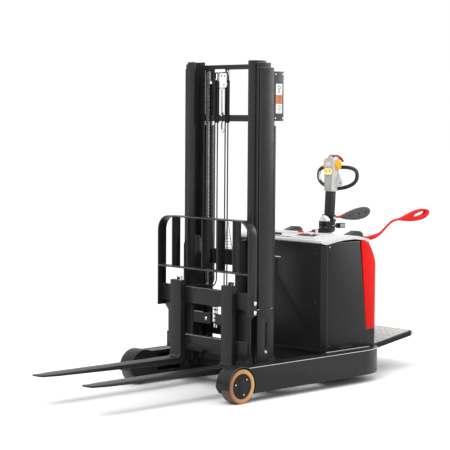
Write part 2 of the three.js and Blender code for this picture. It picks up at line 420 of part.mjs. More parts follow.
const pulley = (s) => lathe([[8.5, -12.6], [PULLEY_R + 3, -12.6], [PULLEY_R + 3, -12], [PULLEY_R - 4, -11.6], [PULLEY_R - 4, 11.6], [PULLEY_R + 3, 12], [PULLEY_R + 3, 12.6], [8.5, 12.6], [8.5, -12.6]], CHAIN_X - PULLEY_R, s * CHAIN_Y, PULLEY_Z, 32);
add("chain_pulley_left", pulley(1), STEEL, 0.35, 0.8);
add("chain_pulley_right", pulley(-1), STEEL, 0.35, 0.8);
add("hose_sheave", lathe([[7.5, -7], [33, -7], [33, -5.4], [31, -5], [31, 5], [33, 5.4], [33, 7], [7.5, 7], [7.5, -7]], HOSE_X, HOSE_Y, HOSE_Z, 32, "x"), CHROME, 0.25, 0.8);
// chains: up from the carriage, over the pulley, down to the middle mast; hoses the same over the sheave
const chain = (s) => {
  const cx = CHAIN_X - PULLEY_R, pts = [[CHAIN_X, s * CHAIN_Y, 668]];
  for (const z of [900, 1300, 1700]) pts.push([CHAIN_X, s * CHAIN_Y, z]);
  for (let i = 0; i <= 10; i++) { const a = (Math.PI * i) / 10; pts.push([cx + PULLEY_R * Math.cos(a), s * CHAIN_Y, PULLEY_Z + PULLEY_R * Math.sin(a)]); }
  pts.push([cx - PULLEY_R, s * CHAIN_Y, 1900], [cx - PULLEY_R, s * CHAIN_Y, 1800]);
  return sweep(pts, rectSec(CHAIN_W, 7), [0, 1, 0]);
};
add("lift_chain_left", chain(1), 0x6f7276, 0.4, 0.8);
add("lift_chain_right", chain(-1), 0x6f7276, 0.4, 0.8);
const hose = (r, zEnd, zCar) => {
  const pts = [[HOSE_X + 0, HOSE_Y + r, zEnd], [HOSE_X, HOSE_Y + r, 900], [HOSE_X, HOSE_Y + r, 1500]];
  for (let i = 0; i <= 10; i++) { const a = (Math.PI * i) / 10; pts.push([HOSE_X, HOSE_Y + r * Math.cos(a), HOSE_Z + r * Math.sin(a)]); }
  pts.push([HOSE_X, HOSE_Y - r, 1500], [HOSE_X, HOSE_Y - r, 1000], [HOSE_X + 14, HOSE_Y - r, zCar + 40], [HOSE_X + 60, HOSE_Y - r, zCar + 6], [HOSE_X + 110, HOSE_Y - r, zCar]);
  return sweep(pts, circleSec(HOSE_D / 2, 8), [0.3, 0, 1]);
};
const HOSES = [hose(HOSE_R1, 420.6, 640), hose(HOSE_R2, 420.6, 640)];
add("hose_inner", HOSES[0], RUBBER, 0.6, 0);
add("hose_outer", HOSES[1], RUBBER, 0.6, 0);

// ---- fork carriage ----
let carriage = join(
  box(BAR_X0, BAR_X1, -BAR_HW, BAR_HW, 559, 666), box(BAR_X0, BAR_X1, -LOW_HW, LOW_HW, 247, 351),
  ...both((s) => {
    const [a, b] = sy(s, 238, 254.5), [c, d] = sy(s, 194, 240);
    return [extXZ([[-200, 240], [-200, 662], [-203.6, 668], [-203.6, 940], [-228, 993], [-330, 993], [-372, 930], [-372, 270], [-340, 240]], a, b),
      cyl(36.5, 55, "y", -339, s * 278, 330, 26), cyl(36.5, 55, "y", -339, s * 278, 920, 26),
      box(-384, -202, c, d, 630, 662), box(-240, -202, sy(s, 150, 240)[0], sy(s, 150, 240)[1], 566, 600)];
  }),
  box(-270.8, -202, -163, -113, 622, 650),
  // side plates between the bars, spread under the strap ends, and a tie across the window
  ...[1, -1].map((s) => extYZ([[150, 252], [SIDE_HW, 252], [SIDE_HW, 490], [BAR_HW, 528], [BAR_HW, 562], [150, 562]].map((p) => [s * p[0], p[1]]), BAR_X0, -190)),
  box(-208, -199, -152, 14, 432, 504), box(-208, -199, 62, 152, 432, 504),
);
carriage = cut(carriage, box(BAR_X0 - 1, BAR_X1 + 1, -30, 30, 240, 262));
add("fork_carriage", carriage, BLACK, 0.35, 0.4);

// ---- backrest: bent flat bar with upright bars ----
const rr = 100, fr = (hw, top, r) => [[-hw, 525], [-hw, top - r], ...arc(-hw + r, top - r, r, 180, 90, 8).slice(1), ...arc(hw - r, top - r, r, 90, 0, 8), [hw, 525]];
const outerLine = fr(BACK_HW, BACK_TOP, rr), innerLine = fr(BACK_HW - BACK_T, BACK_TOP - BACK_T, rr - BACK_T);
let back_rest = extYZ([...outerLine, ...innerLine.slice().reverse()], BACK_X0, BACK_X1);
back_rest = join(back_rest, box(BACK_X0, BACK_X1, -BACK_HW + 4, BACK_HW - 4, BACK_MID - BACK_T, BACK_MID));
for (let i = -2; i <= 2; i++) back_rest = join(back_rest, box(BACK_X0, BACK_X1, i * 145 - 4, i * 145 + 4, BACK_MID - 4, BACK_TOP - 4));
back_rest = join(back_rest, ...both((s) => [cyl(14, 12, "y", -185, s * (BACK_HW + 3), 607, 16), cyl(14, 12, "y", -185, s * (BACK_HW + 3), 548, 16)]));
back_rest = cut(back_rest, box(-300, 0, -427.3, 427.3, 400, 700));
back_rest = join(back_rest);
add("backrest", back_rest, BLACK, 0.35, 0.4);

// ---- forks ----
const fork = (s) => {
  const side = extXZ([[SHANK_X - FORK_T, SHANK_TOP], [SHANK_X, SHANK_TOP], [SHANK_X, FORK_TOP + 22], [SHANK_X + 8, FORK_TOP + 6], [SHANK_X + 26, FORK_TOP], [FORK_TIP_X - 60, FORK_TOP], [FORK_TIP_X, FORK_TOP + 4], [FORK_TIP_X, FORK_TOP - 4], [FORK_TIP_X - 40, FORK_TOP - 12], [420, FORK_TOP - 26], [60, FORK_TOP - FORK_T], [SHANK_X, FORK_TOP - FORK_T], [SHANK_X - 24, FORK_TOP - FORK_T + 8], [SHANK_X - FORK_T, FORK_TOP - FORK_T + 30]], FORK_Y0, FORK_Y1);
  const m = (FORK_Y0 + FORK_Y1) / 2;
  const plan = extXY([[-300, FORK_Y0], [FORK_TIP_X - 150, FORK_Y0], [FORK_TIP_X - 14, m - 30], [FORK_TIP_X, m - 18], [FORK_TIP_X, m + 18], [FORK_TIP_X - 14, m + 30], [FORK_TIP_X - 150, FORK_Y1], [-300, FORK_Y1]], 100, 800);
  let f = meet(side, plan);
  f = join(f, box(-190, SHANK_X - 30, FORK_Y0 + 14, FORK_Y1 - 14, 666.4, 690), box(-190, SHANK_X - 30, FORK_Y0 + 14, FORK_Y1 - 14, 222, 246.6), box(-166.6, -160, FORK_Y0 + 10, FORK_Y1 - 10, 250, 340), box(-166.6, -160, FORK_Y0 + 10, FORK_Y1 - 10, 562, 668), cyl(10, 26, "z", -150, m, SHANK_TOP + 8, 14));
  return s > 0 ? f : f.mirror([0, 1, 0]);
};
add("fork_left", fork(1), BLACK, 0.3, 0.5);
add("fork_right", fork(-1), BLACK, 0.3, 0.5);

// ---- reach cylinder rod ----
add("reach_cylinder_rod", cyl(12, 479.6, "x", -800.2, REACH_Y, 138, 20), CHROME, 0.15, 0.95);

export default root;
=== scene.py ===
import bpy, bmesh, json, math, random
from mathutils import Vector, Matrix


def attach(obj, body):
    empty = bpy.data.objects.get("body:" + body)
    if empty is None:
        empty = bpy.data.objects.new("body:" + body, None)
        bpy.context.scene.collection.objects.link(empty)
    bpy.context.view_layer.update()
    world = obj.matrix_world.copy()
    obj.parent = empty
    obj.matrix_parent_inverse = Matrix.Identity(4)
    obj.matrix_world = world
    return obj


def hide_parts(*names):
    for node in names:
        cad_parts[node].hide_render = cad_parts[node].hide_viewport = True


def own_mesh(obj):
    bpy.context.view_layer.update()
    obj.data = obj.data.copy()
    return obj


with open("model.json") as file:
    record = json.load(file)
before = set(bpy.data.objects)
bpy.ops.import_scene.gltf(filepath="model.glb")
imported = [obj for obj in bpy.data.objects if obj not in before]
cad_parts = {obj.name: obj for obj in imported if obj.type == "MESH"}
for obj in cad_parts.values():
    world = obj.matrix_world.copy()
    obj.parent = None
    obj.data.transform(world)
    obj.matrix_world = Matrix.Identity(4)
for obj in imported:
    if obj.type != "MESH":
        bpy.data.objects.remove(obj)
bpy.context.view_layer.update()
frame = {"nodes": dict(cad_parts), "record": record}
SX = 0.530
random.seed(7)
D = math.radians
NODES = frame["nodes"]
BODY_OF = {}
for b, names in frame["record"]["behaviour"]["bodies"].items():
    for n in names:
        BODY_OF[n] = b

# ------------------------------------------------------------------ materials
MATS = {}

def mk(name, base, rough=0.45, metal=0.0, var=0.06, var_scale=4.0, bump=0.0, bump_scale=600.0, rough_var=0.08,
       dust=0.0, scratch=0.0, spec=0.5, coat=0.0, pattern=None, bevel=0.0, second=None):
    m = bpy.data.materials.new(name)
    m.use_nodes = True
    nt = m.node_tree
    n, l = nt.nodes, nt.links
    bs = n["Principled BSDF"]
    bs.inputs["Metallic"].default_value = metal
    bs.inputs["Specular IOR Level"].default_value = spec
    bs.inputs["Coat Weight"].default_value = coat
    bs.inputs["Coat Roughness"].default_value = 0.12
    tc = n.new("ShaderNodeTexCoord")
    co = tc.outputs["Object"]

    def noise(scale, detail=4.0, rough_=0.55, dist=0.0):
        t = n.new("ShaderNodeTexNoise")
        t.inputs["Scale"].default_value = scale
        t.inputs["Detail"].default_value = detail
        t.inputs["Roughness"].default_value = rough_
        t.inputs["Distortion"].default_value = dist
        l.new(co, t.inputs["Vector"])
        return t.outputs["Fac"]

    def ramp(src, a, b, lo=0.0, hi=1.0):
        r = n.new("ShaderNodeMapRange")
        r.inputs["From Min"].default_value = lo
        r.inputs["From Max"].default_value = hi
        r.inputs["To Min"].default_value = a
        r.inputs["To Max"].default_value = b
        l.new(src, r.inputs["Value"])
        return r.outputs["Result"]

    def mixc(fac, a, b, blend="MIX"):
        x = n.new("ShaderNodeMix")
        x.data_type = "RGBA"
        x.blend_type = blend
        for sock, v in ((x.inputs[0], fac), (x.inputs[6], a), (x.inputs[7], b)):
            if isinstance(v, bpy.types.NodeSocket):
                l.new(v, sock)
            elif isinstance(v, (tuple, list)):
                sock.default_value = (*v[:3], 1.0)
            else:
                sock.default_value = v
        return x.outputs[2]

    dark = tuple(c * (1 - var) for c in base)
    light = tuple(min(1.0, c * (1 + var)) for c in base)
    big = noise(var_scale, 5.0, 0.6)
    col = mixc(ramp(big, 0, 1, 0.3, 0.7), dark, light)
    fine = noise(var_scale * 22, 3.0, 0.6)
    col = mixc(ramp(fine, 0.0, 0.5, 0.35, 0.75), col, tuple(c * (1 - var * 0.7) for c in base))
    height = None
    rsock = ramp(noise(var_scale * 6, 4.0, 0.6), rough - rough_var, rough + rough_var, 0.3, 0.7)
    if pattern:
        col, height, rsock = pattern(n, l, co, col, rsock, mixc, ramp, noise, base)
    if scratch:
        w = n.new("ShaderNodeTexWave")
        w.wave_type = "BANDS"
        w.inputs["Scale"].default_value = 3.0
        w.inputs["Distortion"].default_value = 18.0
        w.inputs["Detail"].default_value = 4.0
        w.inputs["Detail Scale"].default_value = 3.5
        l.new(co, w.inputs["Vector"])
        s = ramp(w.outputs["Fac"], 0.0, scratch, 0.965, 1.0)
        col = mixc(s, col, tuple(min(1, c * 0.5 + 0.35) for c in base))
    if dust:
        g = n.new("ShaderNodeNewGeometry")
        sep = n.new("ShaderNodeSeparateXYZ")
        l.new(g.outputs["Normal"], sep.inputs[0])
        up = ramp(sep.outputs["Z"], 0.0, 1.0, 0.55, 1.0)
        dn = ramp(noise(14.0, 6.0, 0.7), 0.0, dust, 0.35, 0.75)
        mul = n.new("ShaderNodeMath")
        mul.operation = "MULTIPLY"
        l.new(up, mul.inputs[0])
        l.new(dn, mul.inputs[1])
        col = mixc(mul.outputs[0], col, (0.55, 0.54, 0.52))
    l.new(col, bs.inputs["Base Color"])
    l.new(rsock, bs.inputs["Roughness"])
    nrm = None
    if bevel:
        bv = n.new("ShaderNodeBevel")
        bv.samples = 4
        bv.inputs["Radius"].default_value = bevel
        nrm = bv.outputs["Normal"]
    if bump or height is not None:
        b = n.new("ShaderNodeBump")
        b.inputs["Strength"].default_value = 1.0
        b.inputs["Distance"].default_value = bump if bump else 0.0006
        l.new(height if height is not None else noise(bump_scale, 2.0, 0.5), b.inputs["Height"])
        if nrm is not None:
            l.new(nrm, b.inputs["Normal"])
        nrm = b.outputs["Normal"]
    if nrm is not None:
        l.new(nrm, bs.inputs["Normal"])
    MATS[name] = m
    return m

def pat_deck(n, l, co, col, r, mixc, ramp, noise, base):
    v = n.new("ShaderNodeTexVoronoi")
    v.feature = "DISTANCE_TO_EDGE"
    v.inputs["Scale"].default_value = 60.0
    l.new(co, v.inputs["Vector"])
    # painted shade darkens the grooves along the cell edges
    h = ramp(v.outputs["Distance"], 0, 1, 0.02, 0.14)
    c = mixc(h, tuple(x * 0.78 for x in base), col)
    return c, h, r

def pat_brushed(axis):
    def f(n, l, co, col, r, mixc, ramp, noise, base):
        mp = n.new("ShaderNodeMapping")
        s = [260.0, 260.0, 260.0]
        s[axis] = 6.0
        mp.inputs["Scale"].default_value = s
        l.new(co, mp.inputs["Vector"])
        t = n.new("ShaderNodeTexNoise")
        t.inputs["Scale"].default_value = 1.0
        t.inputs["Detail"].default_value = 3.0
        l.new(mp.outputs[0], t.inputs["Vector"])
        c = mixc(ramp(t.outputs["Fac"], 0, 1, 0.3, 0.7), tuple(x * 0.86 for x in base), col)
        return c, t.outputs["Fac"], ramp(t.outputs["Fac"], 0.2, 0.42, 0.3, 0.7)
    return f

def pat_braid(n, l, co, col, r, mixc, ramp, noise, base):
    out = None
    for k in (1, -1):
        w = n.new("ShaderNodeTexWave")
        w.inputs["Scale"].default_value = 1.0
        mp = n.new("ShaderNodeMapping")
        mp.inputs["Scale"].default_value = (90.0, 90.0 * k, 110.0)
        l.new(co, mp.inputs["Vector"])
        l.new(mp.outputs[0], w.inputs["Vector"])
        w.bands_direction = "DIAGONAL"
        if out is None:
            out = w.outputs["Fac"]
        else:
            mx = n.new("ShaderNodeMath")
            mx.operation = "MAXIMUM"
            l.new(out, mx.inputs[0])
            l.new(w.outputs["Fac"], mx.inputs[1])
            out = mx.outputs[0]
    # painted shade darkens the grooves between the braid strands
    c = mixc(ramp(out, 0, 1, 0.2, 0.9), tuple(x * 0.6 for x in base), col)
    return c, out, r

def pat_label(n, l, co, col, r, mixc, ramp, noise, base):
    sep = n.new("ShaderNodeSeparateXYZ")
    l.new(co, sep.inputs[0])
    def band(sock, a, b):
        lo = n.new("ShaderNodeMath"); lo.operation = "GREATER_THAN"; lo.inputs[1].default_value = a
        hi = n.new("ShaderNodeMath"); hi.operation = "LESS_THAN"; hi.inputs[1].default_value = b
        m2 = n.new("ShaderNodeMath"); m2.operation = "MULTIPLY"
        l.new(sock, lo.inputs[0]); l.new(sock, hi.inputs[0]); l.new(lo.outputs[0], m2.inputs[0]); l.new(hi.outputs[0], m2.inputs[1])
        return m2.outputs[0]
    z, x = sep.outputs["Z"], sep.outputs["X"]
    c = mixc(band(z, 1.955, 2.020), col, (0.85, 0.33, 0.06))
    c = mixc(band(z, 1.800, 1.812), c, (0.2, 0.2, 0.21))
    w = n.new("ShaderNodeMath"); w.operation = "PINGPONG"; w.inputs[1].default_value = 0.006
    l.new(z, w.inputs[0])
    g = n.new("ShaderNodeMath"); g.operation = "LESS_THAN"; g.inputs[1].default_value = 0.0018
    l.new(w.outputs[0], g.inputs[0])
    area = band(z, 1.83, 1.93)
    mu = n.new("ShaderNodeMath"); mu.operation = "MULTIPLY"
    l.new(g.outputs[0], mu.inputs[0]); l.new(area, mu.inputs[1])
    c = mixc(mu.outputs[0], c, (0.35, 0.35, 0.36))
    return c, None, r

def pat_tyre(n, l, co, col, r, mixc, ramp, noise, base):
    sc = noise(38.0, 8.0, 0.7, 0.6)
    c = mixc(ramp(sc, 0, 0.35, 0.52, 0.75), col, tuple(x * 0.55 for x in base))
    return c, noise(240.0, 5.0, 0.7), r

def pat_load_tyre(n, l, co, col, r, mixc, ramp, noise, base):
    """orange side ring and dark tread, told apart by the distance from the axle; the dark tread is partly wear and
    partly painted shade under the fender, and the ring carries painted light at its rear and painted shade at its front
    """
    sep = n.new("ShaderNodeSeparateXYZ")
    l.new(co, sep.inputs[0])
    cmb = n.new("ShaderNodeCombineXYZ")
    l.new(sep.outputs["X"], cmb.inputs[0])
    l.new(sep.outputs["Z"], cmb.inputs[1])
    ds = n.new("ShaderNodeVectorMath")
    ds.operation = "DISTANCE"
    l.new(cmb.outputs[0], ds.inputs[0])
    ds.inputs[1].default_value = (0.530, 0.111, 0.0)
    sc = noise(46.0, 8.0, 0.7, 0.5)
    c = mixc(ramp(sc, 0, 0.30, 0.50, 0.78), col, tuple(x * 0.55 for x in base))
    # painted light: the rear part of the side ring lighter orange
    side = ramp(sep.outputs["X"], 0.85, 0.0, 0.44, 0.54)
    c = mixc(side, c, (0.52, 0.30, 0.085))
    # painted shade: the front part of the ring, under the fender, darker
    tyre_front_painted_shade = ramp(sep.outputs["X"], 0.0, 0.62, 0.56, 0.62)
    c = mixc(tyre_front_painted_shade, c, (0.15, 0.062, 0.034))
    # dark outer tread: partly worn tread, partly painted shade
    edge = ramp(ds.outputs["Value"], 0.0, 1.0, 0.1025, 0.1085)
    c = mixc(edge, c, (0.055, 0.032, 0.018))
    inner = ramp(ds.outputs["Value"], 0.75, 0.0, 0.0795, 0.084)
    c = mixc(inner, c, tuple(x * 0.35 for x in base))
    return c, noise(240.0, 5.0, 0.7), r

def pat_holes(n, l, co, col, r, mixc, ramp, noise, base):
    v = n.new("ShaderNodeTexVoronoi")
    v.inputs["Scale"].default_value = 34.0
    v.inputs["Randomness"].default_value = 0.85
    l.new(co, v.inputs["Vector"])
    # painted shade: the pits darkened
    h = ramp(v.outputs["Distance"], 0, 1, 0.16, 0.22)
    return mixc(h, tuple(x * 0.12 for x in base), col), h, r

def pat_tread(n, l, co, col, r, mixc, ramp, noise, base):
    """small raised lozenges, lighter on the tops, with painted shade darkening the low squares between"""
    mp = n.new("ShaderNodeMapping")
    mp.inputs["Rotation"].default_value = (0, 0, D(45))
    mp.inputs["Scale"].default_value = (46, 46, 46)
    l.new(co, mp.inputs["Vector"])
    ck = n.new("ShaderNodeTexChecker")
    ck.inputs["Scale"].default_value = 1.0
    l.new(mp.outputs[0], ck.inputs["Vector"])
    nz = noise(90.0, 5.0, 0.6)
    c = mixc(ck.outputs["Fac"], tuple(x * 0.62 for x in base), col)
    c = mixc(ramp(nz, 0, 0.4, 0.5, 0.8), c, tuple(x * 0.5 for x in base))
    return c, ck.outputs["Fac"], r

def pat_louvre(n, l, co, col, r, mixc, ramp, noise, base):
    sep = n.new("ShaderNodeSeparateXYZ")
    l.new(co, sep.inputs[0])
    w = n.new("ShaderNodeMath")
    w.operation = "PINGPONG"
    w.inputs[1].default_value = 0.008
    l.new(sep.outputs["Z"], w.inputs[0])
    # painted shade darkens the gaps between the louvres
    h = ramp(w.outputs[0], 0, 1, 0.0015, 0.004)
    return mixc(h, tuple(x * 0.3 for x in base), col), h, r

BLK = (0.0105, 0.0108, 0.0115)
mk("black_paint", BLK, 0.36, 0.0, var=0.22, bump=0.00010, bump_scale=420, dust=0.012, spec=0.24)
mk("black_cover", (0.0095, 0.0098, 0.0105), 0.42, 0.0, var=0.16, bump=0.00008, bump_scale=500, dust=0.008, spec=0.20)
mk("mast_paint", (0.0110, 0.0113, 0.0120), 0.34, 0.0, var=0.22, bump=0.00010, bump_scale=380, dust=0.008, spec=0.26)
# painted highlight colours for rounded edges that face up, a brighter one for the legs, and a dimmer painted sheen for
# the other rounded edges
mk("painted_highlight_edge", (0.155, 0.158, 0.162), 0.30, 0.0, var=0.30, var_scale=22, bump=0.00005, bump_scale=400, spec=0.5)
mk("painted_highlight_leg_edge", (0.50, 0.50, 0.50), 0.30, 0.0, var=0.22, var_scale=16, bump=0.00005, bump_scale=400, spec=0.5)
mk("painted_sheen_edge", (0.034, 0.035, 0.037), 0.30, 0.0, var=0.25, var_scale=22, bump=0.00005, bump_scale=400, spec=0.4)
mk("weld_and_painted_highlight", (0.42, 0.42, 0.42), 0.40, 0.6, var=0.5, var_scale=60, bump=0.0004, bump_scale=260)
mk("dark_steel", (0.045, 0.046, 0.048), 0.40, 0.6, var=0.2, bump=0.0001, bump_scale=300)
mk("fork_paint", (0.0115, 0.0118, 0.0125), 0.38, 0.0, var=0.10, bump=0.00001, bump_scale=700, rough_var=0.03, dust=0.003, spec=0.26)
mk("tyre_pu", (0.60, 0.27, 0.085), 0.45, 0.0, var=0.08, pattern=pat_tyre, bump=0.0001)
mk("load_tyre_pu", (0.44, 0.185, 0.062), 0.42, 0.0, var=0.08, pattern=pat_load_tyre, bump=0.0001)
mk("hub_paint", (0.0085, 0.0085, 0.009), 0.38, 0.0, var=0.3, bump=0.0002, bump_scale=240, spec=0.2)
mk("zinc", (0.74, 0.74, 0.73), 0.26, 1.0, var=0.12, var_scale=30, bump=0.00005, bump_scale=800)
mk("bright_steel", (0.74, 0.75, 0.76), 0.24, 1.0, var=0.08, pattern=pat_brushed(2), bump=0.00004)
mk("chrome", (0.83, 0.84, 0.86), 0.10, 1.0, var=0.03, bump=0.00001, rough_var=0.03)
mk("red_paint", (0.58, 0.006, 0.004), 0.36, 0.0, var=0.07, bump=0.00008, bump_scale=420, spec=0.10)
mk("red_plastic", (0.60, 0.007, 0.004), 0.40, 0.0, var=0.05, bump=0.00008, bump_scale=700, spec=0.08)
mk("dark_red", (0.34, 0.010, 0.022), 0.36, 0.0, var=0.08, bump=0.00008, bump_scale=700, spec=0.3)
mk("cover_white", (0.54, 0.54, 0.545), 0.46, 0.0, var=0.04, bump=0.00012, bump_scale=900, dust=0.02, spec=0.3)
mk("grey_plastic", (0.30, 0.305, 0.30), 0.42, 0.0, var=0.07, bump=0.00015, bump_scale=1200, spec=0.35)
mk("light_plastic", (0.53, 0.52, 0.50), 0.38, 0.0, var=0.04, bump=0.00012, bump_scale=1100, spec=0.4)
mk("pad_grey", (0.060, 0.062, 0.065), 0.66, 0.0, var=0.12, bump=0.0006, pattern=pat_holes, spec=0.2)
mk("black_rubber", (0.011, 0.011, 0.012), 0.55, 0.0, var=0.2, bump=0.0003, bump_scale=700, spec=0.2)
mk("hose_rubber", (0.012, 0.012, 0.013), 0.5, 0.0, var=0.2, pattern=pat_braid, bump=0.0003, spec=0.25)
mk("soft_black", (0.014, 0.0142, 0.015), 0.45, 0.0, var=0.16, bump=0.00025, bump_scale=1300, spec=0.35)
mk("yellow", (0.86, 0.40, 0.018), 0.33, 0.0, var=0.06, bump=0.00008, bump_scale=900, spec=0.35)
mk("pale_yellow", (0.80, 0.72, 0.27), 0.38, 0.0, var=0.05, bump=0.00008, bump_scale=900, spec=0.3)
mk("deck", (0.60, 0.60, 0.59), 0.60, 0.0, var=0.08, pattern=pat_tread, bump=0.0010, spec=0.2)
mk("brass", (0.72, 0.55, 0.28), 0.30, 1.0, var=0.1, bump=0.00005, bump_scale=500)
mk("bright_zinc", (0.86, 0.86, 0.86), 0.34, 0.35, var=0.08, var_scale=30, bump=0.00005, bump_scale=500)
mk("face_grey", (0.40, 0.40, 0.43), 0.38, 0.0, var=0.05, bump=0.00010, bump_scale=1100, spec=0.4)
mk("sticker_white", (0.78, 0.78, 0.76), 0.40, 0.0, var=0.03, bump=0.00003, bump_scale=500)
mk("sticker_orange", (0.62, 0.20, 0.06), 0.40, 0.0, var=0.06, bump=0.00003, bump_scale=500)
mk("sticker_dark", (0.03, 0.03, 0.032), 0.42, 0.0, var=0.1, bump=0.00003, bump_scale=500)
mk("vent", (0.020, 0.0205, 0.022), 0.50, 0.0, var=0.1, pattern=pat_louvre, bump=0.0020, spec=0.25)
mk("battery_grey", (0.035, 0.045, 0.055), 0.5, 0.0, var=0.12, bump=0.0002, bump_scale=500, dust=0.05)
mk("hydro_grey", (0.05, 0.053, 0.056), 0.42, 0.4, var=0.15, bump=0.0002, bump_scale=400)
mk("floor", (0.76, 0.76, 0.76), 0.85, 0.0, var=0.008, var_scale=0.8, bump=0.0002, bump_scale=60, spec=0.0)

# ------------------------------------------------------------------ shape helpers
def link(o):
    bpy.context.scene.collection.objects.link(o)
    return o

def mesh_obj(name, verts, faces, mats):
    me = bpy.data.meshes.new(name)
    me.from_pydata([tuple(v) for v in verts], [], faces)
    me.validate()
    o = link(bpy.data.objects.new(name, me))
    for m in ([mats] if isinstance(mats, str) else mats):
        me.materials.append(MATS[m])
    return o

def finish_shading(me, angle=38):
    bm = bmesh.new()
    bm.from_mesh(me)
    bmesh.ops.recalc_face_normals(bm, faces=bm.faces)
    for f in bm.faces:
        f.smooth = True
    for e in bm.edges:
        e.smooth = not (len(e.link_faces) == 2 and e.calc_face_angle(0) > D(angle))
    bm.to_mesh(me)
    bm.free()

def bake(o):
    dg = bpy.context.evaluated_depsgraph_get()
    dg.update()
    me = bpy.data.meshes.new_from_object(o.evaluated_get(dg))
    o.modifiers.clear()
    old = o.data
    o.data = me
    bpy.data.meshes.remove(old)
    return o

def bevel(o, width, seg=2, angle=32):
    md = o.modifiers.new("b", "BEVEL")
    md.width = width
    md.segments = seg
    md.limit_method = "ANGLE"
    md.angle_limit = D(angle)
    md.use_clamp_overlap = True
    bake(o)
    finish_shading(o.data)
    return o

def soften(node, mat, width=0.002, seg=2, angle=32, edge=None, edge_low="painted_sheen_edge", cut=0.25, tweak=None):
    """A copy of the CAD node with merged flats and rounded edges, shown in its place.
    edge: the rounded edges that face up take this painted-highlight material, the others edge_low, a dimmer painted
    sheen."""
    src = NODES[node]
    me = src.data.copy()
    o = link(bpy.data.objects.new(node + "_look", me))
    o.matrix_world = src.matrix_world.copy()
    bm = bmesh.new()
    bm.from_mesh(me)
    bmesh.ops.remove_doubles(bm, verts=bm.verts, dist=2e-5)
    bmesh.ops.dissolve_limit(bm, angle_limit=D(0.6), verts=bm.verts, edges=bm.edges, use_dissolve_boundaries=False)
    bm.to_mesh(me)
    bm.free()
    me.materials.clear()
    mats = [mat] if isinstance(mat, str) else list(mat)
    if edge:
        mats += [edge_low, edge]
    for m in mats:
        me.materials.append(MATS[m])
    for pl in me.polygons:
        pl.material_index = 0
    if width:
        md = o.modifiers.new("b", "BEVEL")
        md.width = width
        md.segments = seg
        md.limit_method = "ANGLE"
        md.angle_limit = D(angle)
        md.use_clamp_overlap = True
        if edge:
            md.material = len(mats) - 2
        bake(o)
        finish_shading(o.data)
        if edge:
            # painted highlight: rounded edges facing up move to the brighter edge material, the rest keep the painted
            # sheen
            for pl in o.data.polygons:
                if pl.material_index == len(mats) - 2 and pl.normal.z > cut:
                    pl.material_index = len(mats) - 1
    else:
        finish_shading(me)
    if tweak:
        for pl in o.data.polygons:
            k = tweak(pl.center, pl.normal)
            if k is not None:
                pl.material_index = k
    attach(o, BODY_OF[node])
    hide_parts(node)
    return o

def place(o, body, near=None):
    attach(o, body)
    return o

def merge_parts(name, parts):
    """parts: (verts, faces, material name) joined into one mesh."""
    verts, faces, idx, mats = [], [], [], []
    for v, f, m in parts:
        if m not in mats:
            mats.append(m)
        k = len(verts)
        verts += [tuple(p) for p in v]
        faces += [[i + k for i in q] for q in f]
        idx += [mats.index(m)] * len(f)
    o = mesh_obj(name, verts, faces, mats)
    for p, i in zip(o.data.polygons, idx):
        p.material_index = i
    return o

def boxp(x0, x1, y0, y1, z0, z1, mat):
    v = [(x, y, z) for x in (x0, x1) for y in (y0, y1) for z in (z0, z1)]
    f = [(0, 1, 3, 2), (4, 6, 7, 5), (0, 4, 5, 1), (2, 3, 7, 6), (0, 2, 6, 4), (1, 5, 7, 3)]
    return v, f, mat

def cylp(c, axis, prof, mat, seg=24, cap=True, ang0=0.0):
    """turned profile [(radius, along)] about an axis through c"""
    a = Vector(axis).normalized()
    u = a.orthogonal().normalized()
    w = a.cross(u)
    v, f = [], []
    for r, h in prof:
        for i in range(seg):
            t = 2 * math.pi * i / seg + ang0
            v.append(Vector(c) + a * h + (u * math.cos(t) + w * math.sin(t)) * max(r, 1e-5))
    for k in range(len(prof) - 1):
        for i in range(seg):
            j = (i + 1) % seg
            f.append((k * seg + i, k * seg + j, (k + 1) * seg + j, (k + 1) * seg + i))
    if cap:
        f.append(tuple(reversed(range(seg))))
        f.append(tuple((len(prof) - 1) * seg + i for i in range(seg)))
    return v, f, mat

def hexbolt(c, axis, r, mat="zinc", h=None):
    h = h or r * 0.75
    parts = [cylp(c, axis, [(r * 1.25, 0), (r * 1.25, r * 0.22), (r * 1.18, r * 0.28)], mat, 20)]
    p = [(r * 1.0, r * 0.24), (r * 1.02, r * 0.3), (r * 1.02, h), (r * 0.9, h + r * 0.14)]
    parts.append(cylp(c, axis, p, mat, 6))
    return parts

def dome(c, axis, r, mat="zinc"):
    prof = [(r, 0), (r, r * 0.14)] + [(r * 0.86 * math.cos(t), r * 0.14 + r * 0.55 * math.sin(t)) for t in [i * math.pi / 12 for i in range(6)]] + [(r * 0.08, r * 0.69)]
    sock = cylp(Vector(c) + Vector(axis).normalized() * r * 0.66, axis, [(r * 0.34, 0), (r * 0.34, r * 0.06)], "dark_steel", 6)
    return [cylp(c, axis, prof, mat, 22), sock]

def sweep(name, pts, sec, mat, up=(0, 1, 0), closed=False, scale=None, cap=True):
    P = [Vector(p) for p in pts]
    n, m = len(P), len(sec)
    v, f = [], []
    for i in range(n):
        a = P[(i - 1) % n] if closed else P[max(i - 1, 0)]
        b = P[(i + 1) % n] if closed else P[min(i + 1, n - 1)]
        T = (b - a).normalized()
        N = Vector(up)
        N = (N - T * N.dot(T)).normalized()
        B = T.cross(N)
        k = scale[i] if scale else (1, 1)
        for s in sec:
            v.append(P[i] + N * s[0] * k[0] + B * s[1] * k[1])
    for i in range(n if closed else n - 1):
        for j in range(m):
            a, b = i * m + j, i * m + (j + 1) % m
            c, d = ((i + 1) % n) * m + (j + 1) % m, ((i + 1) % n) * m + j
            f.append((a, d, c, b))
    if not closed and cap:
        f.append(tuple(range(m)))
        f.append(tuple(reversed([(n - 1) * m + j for j in range(m)])))
    return v, f, mat

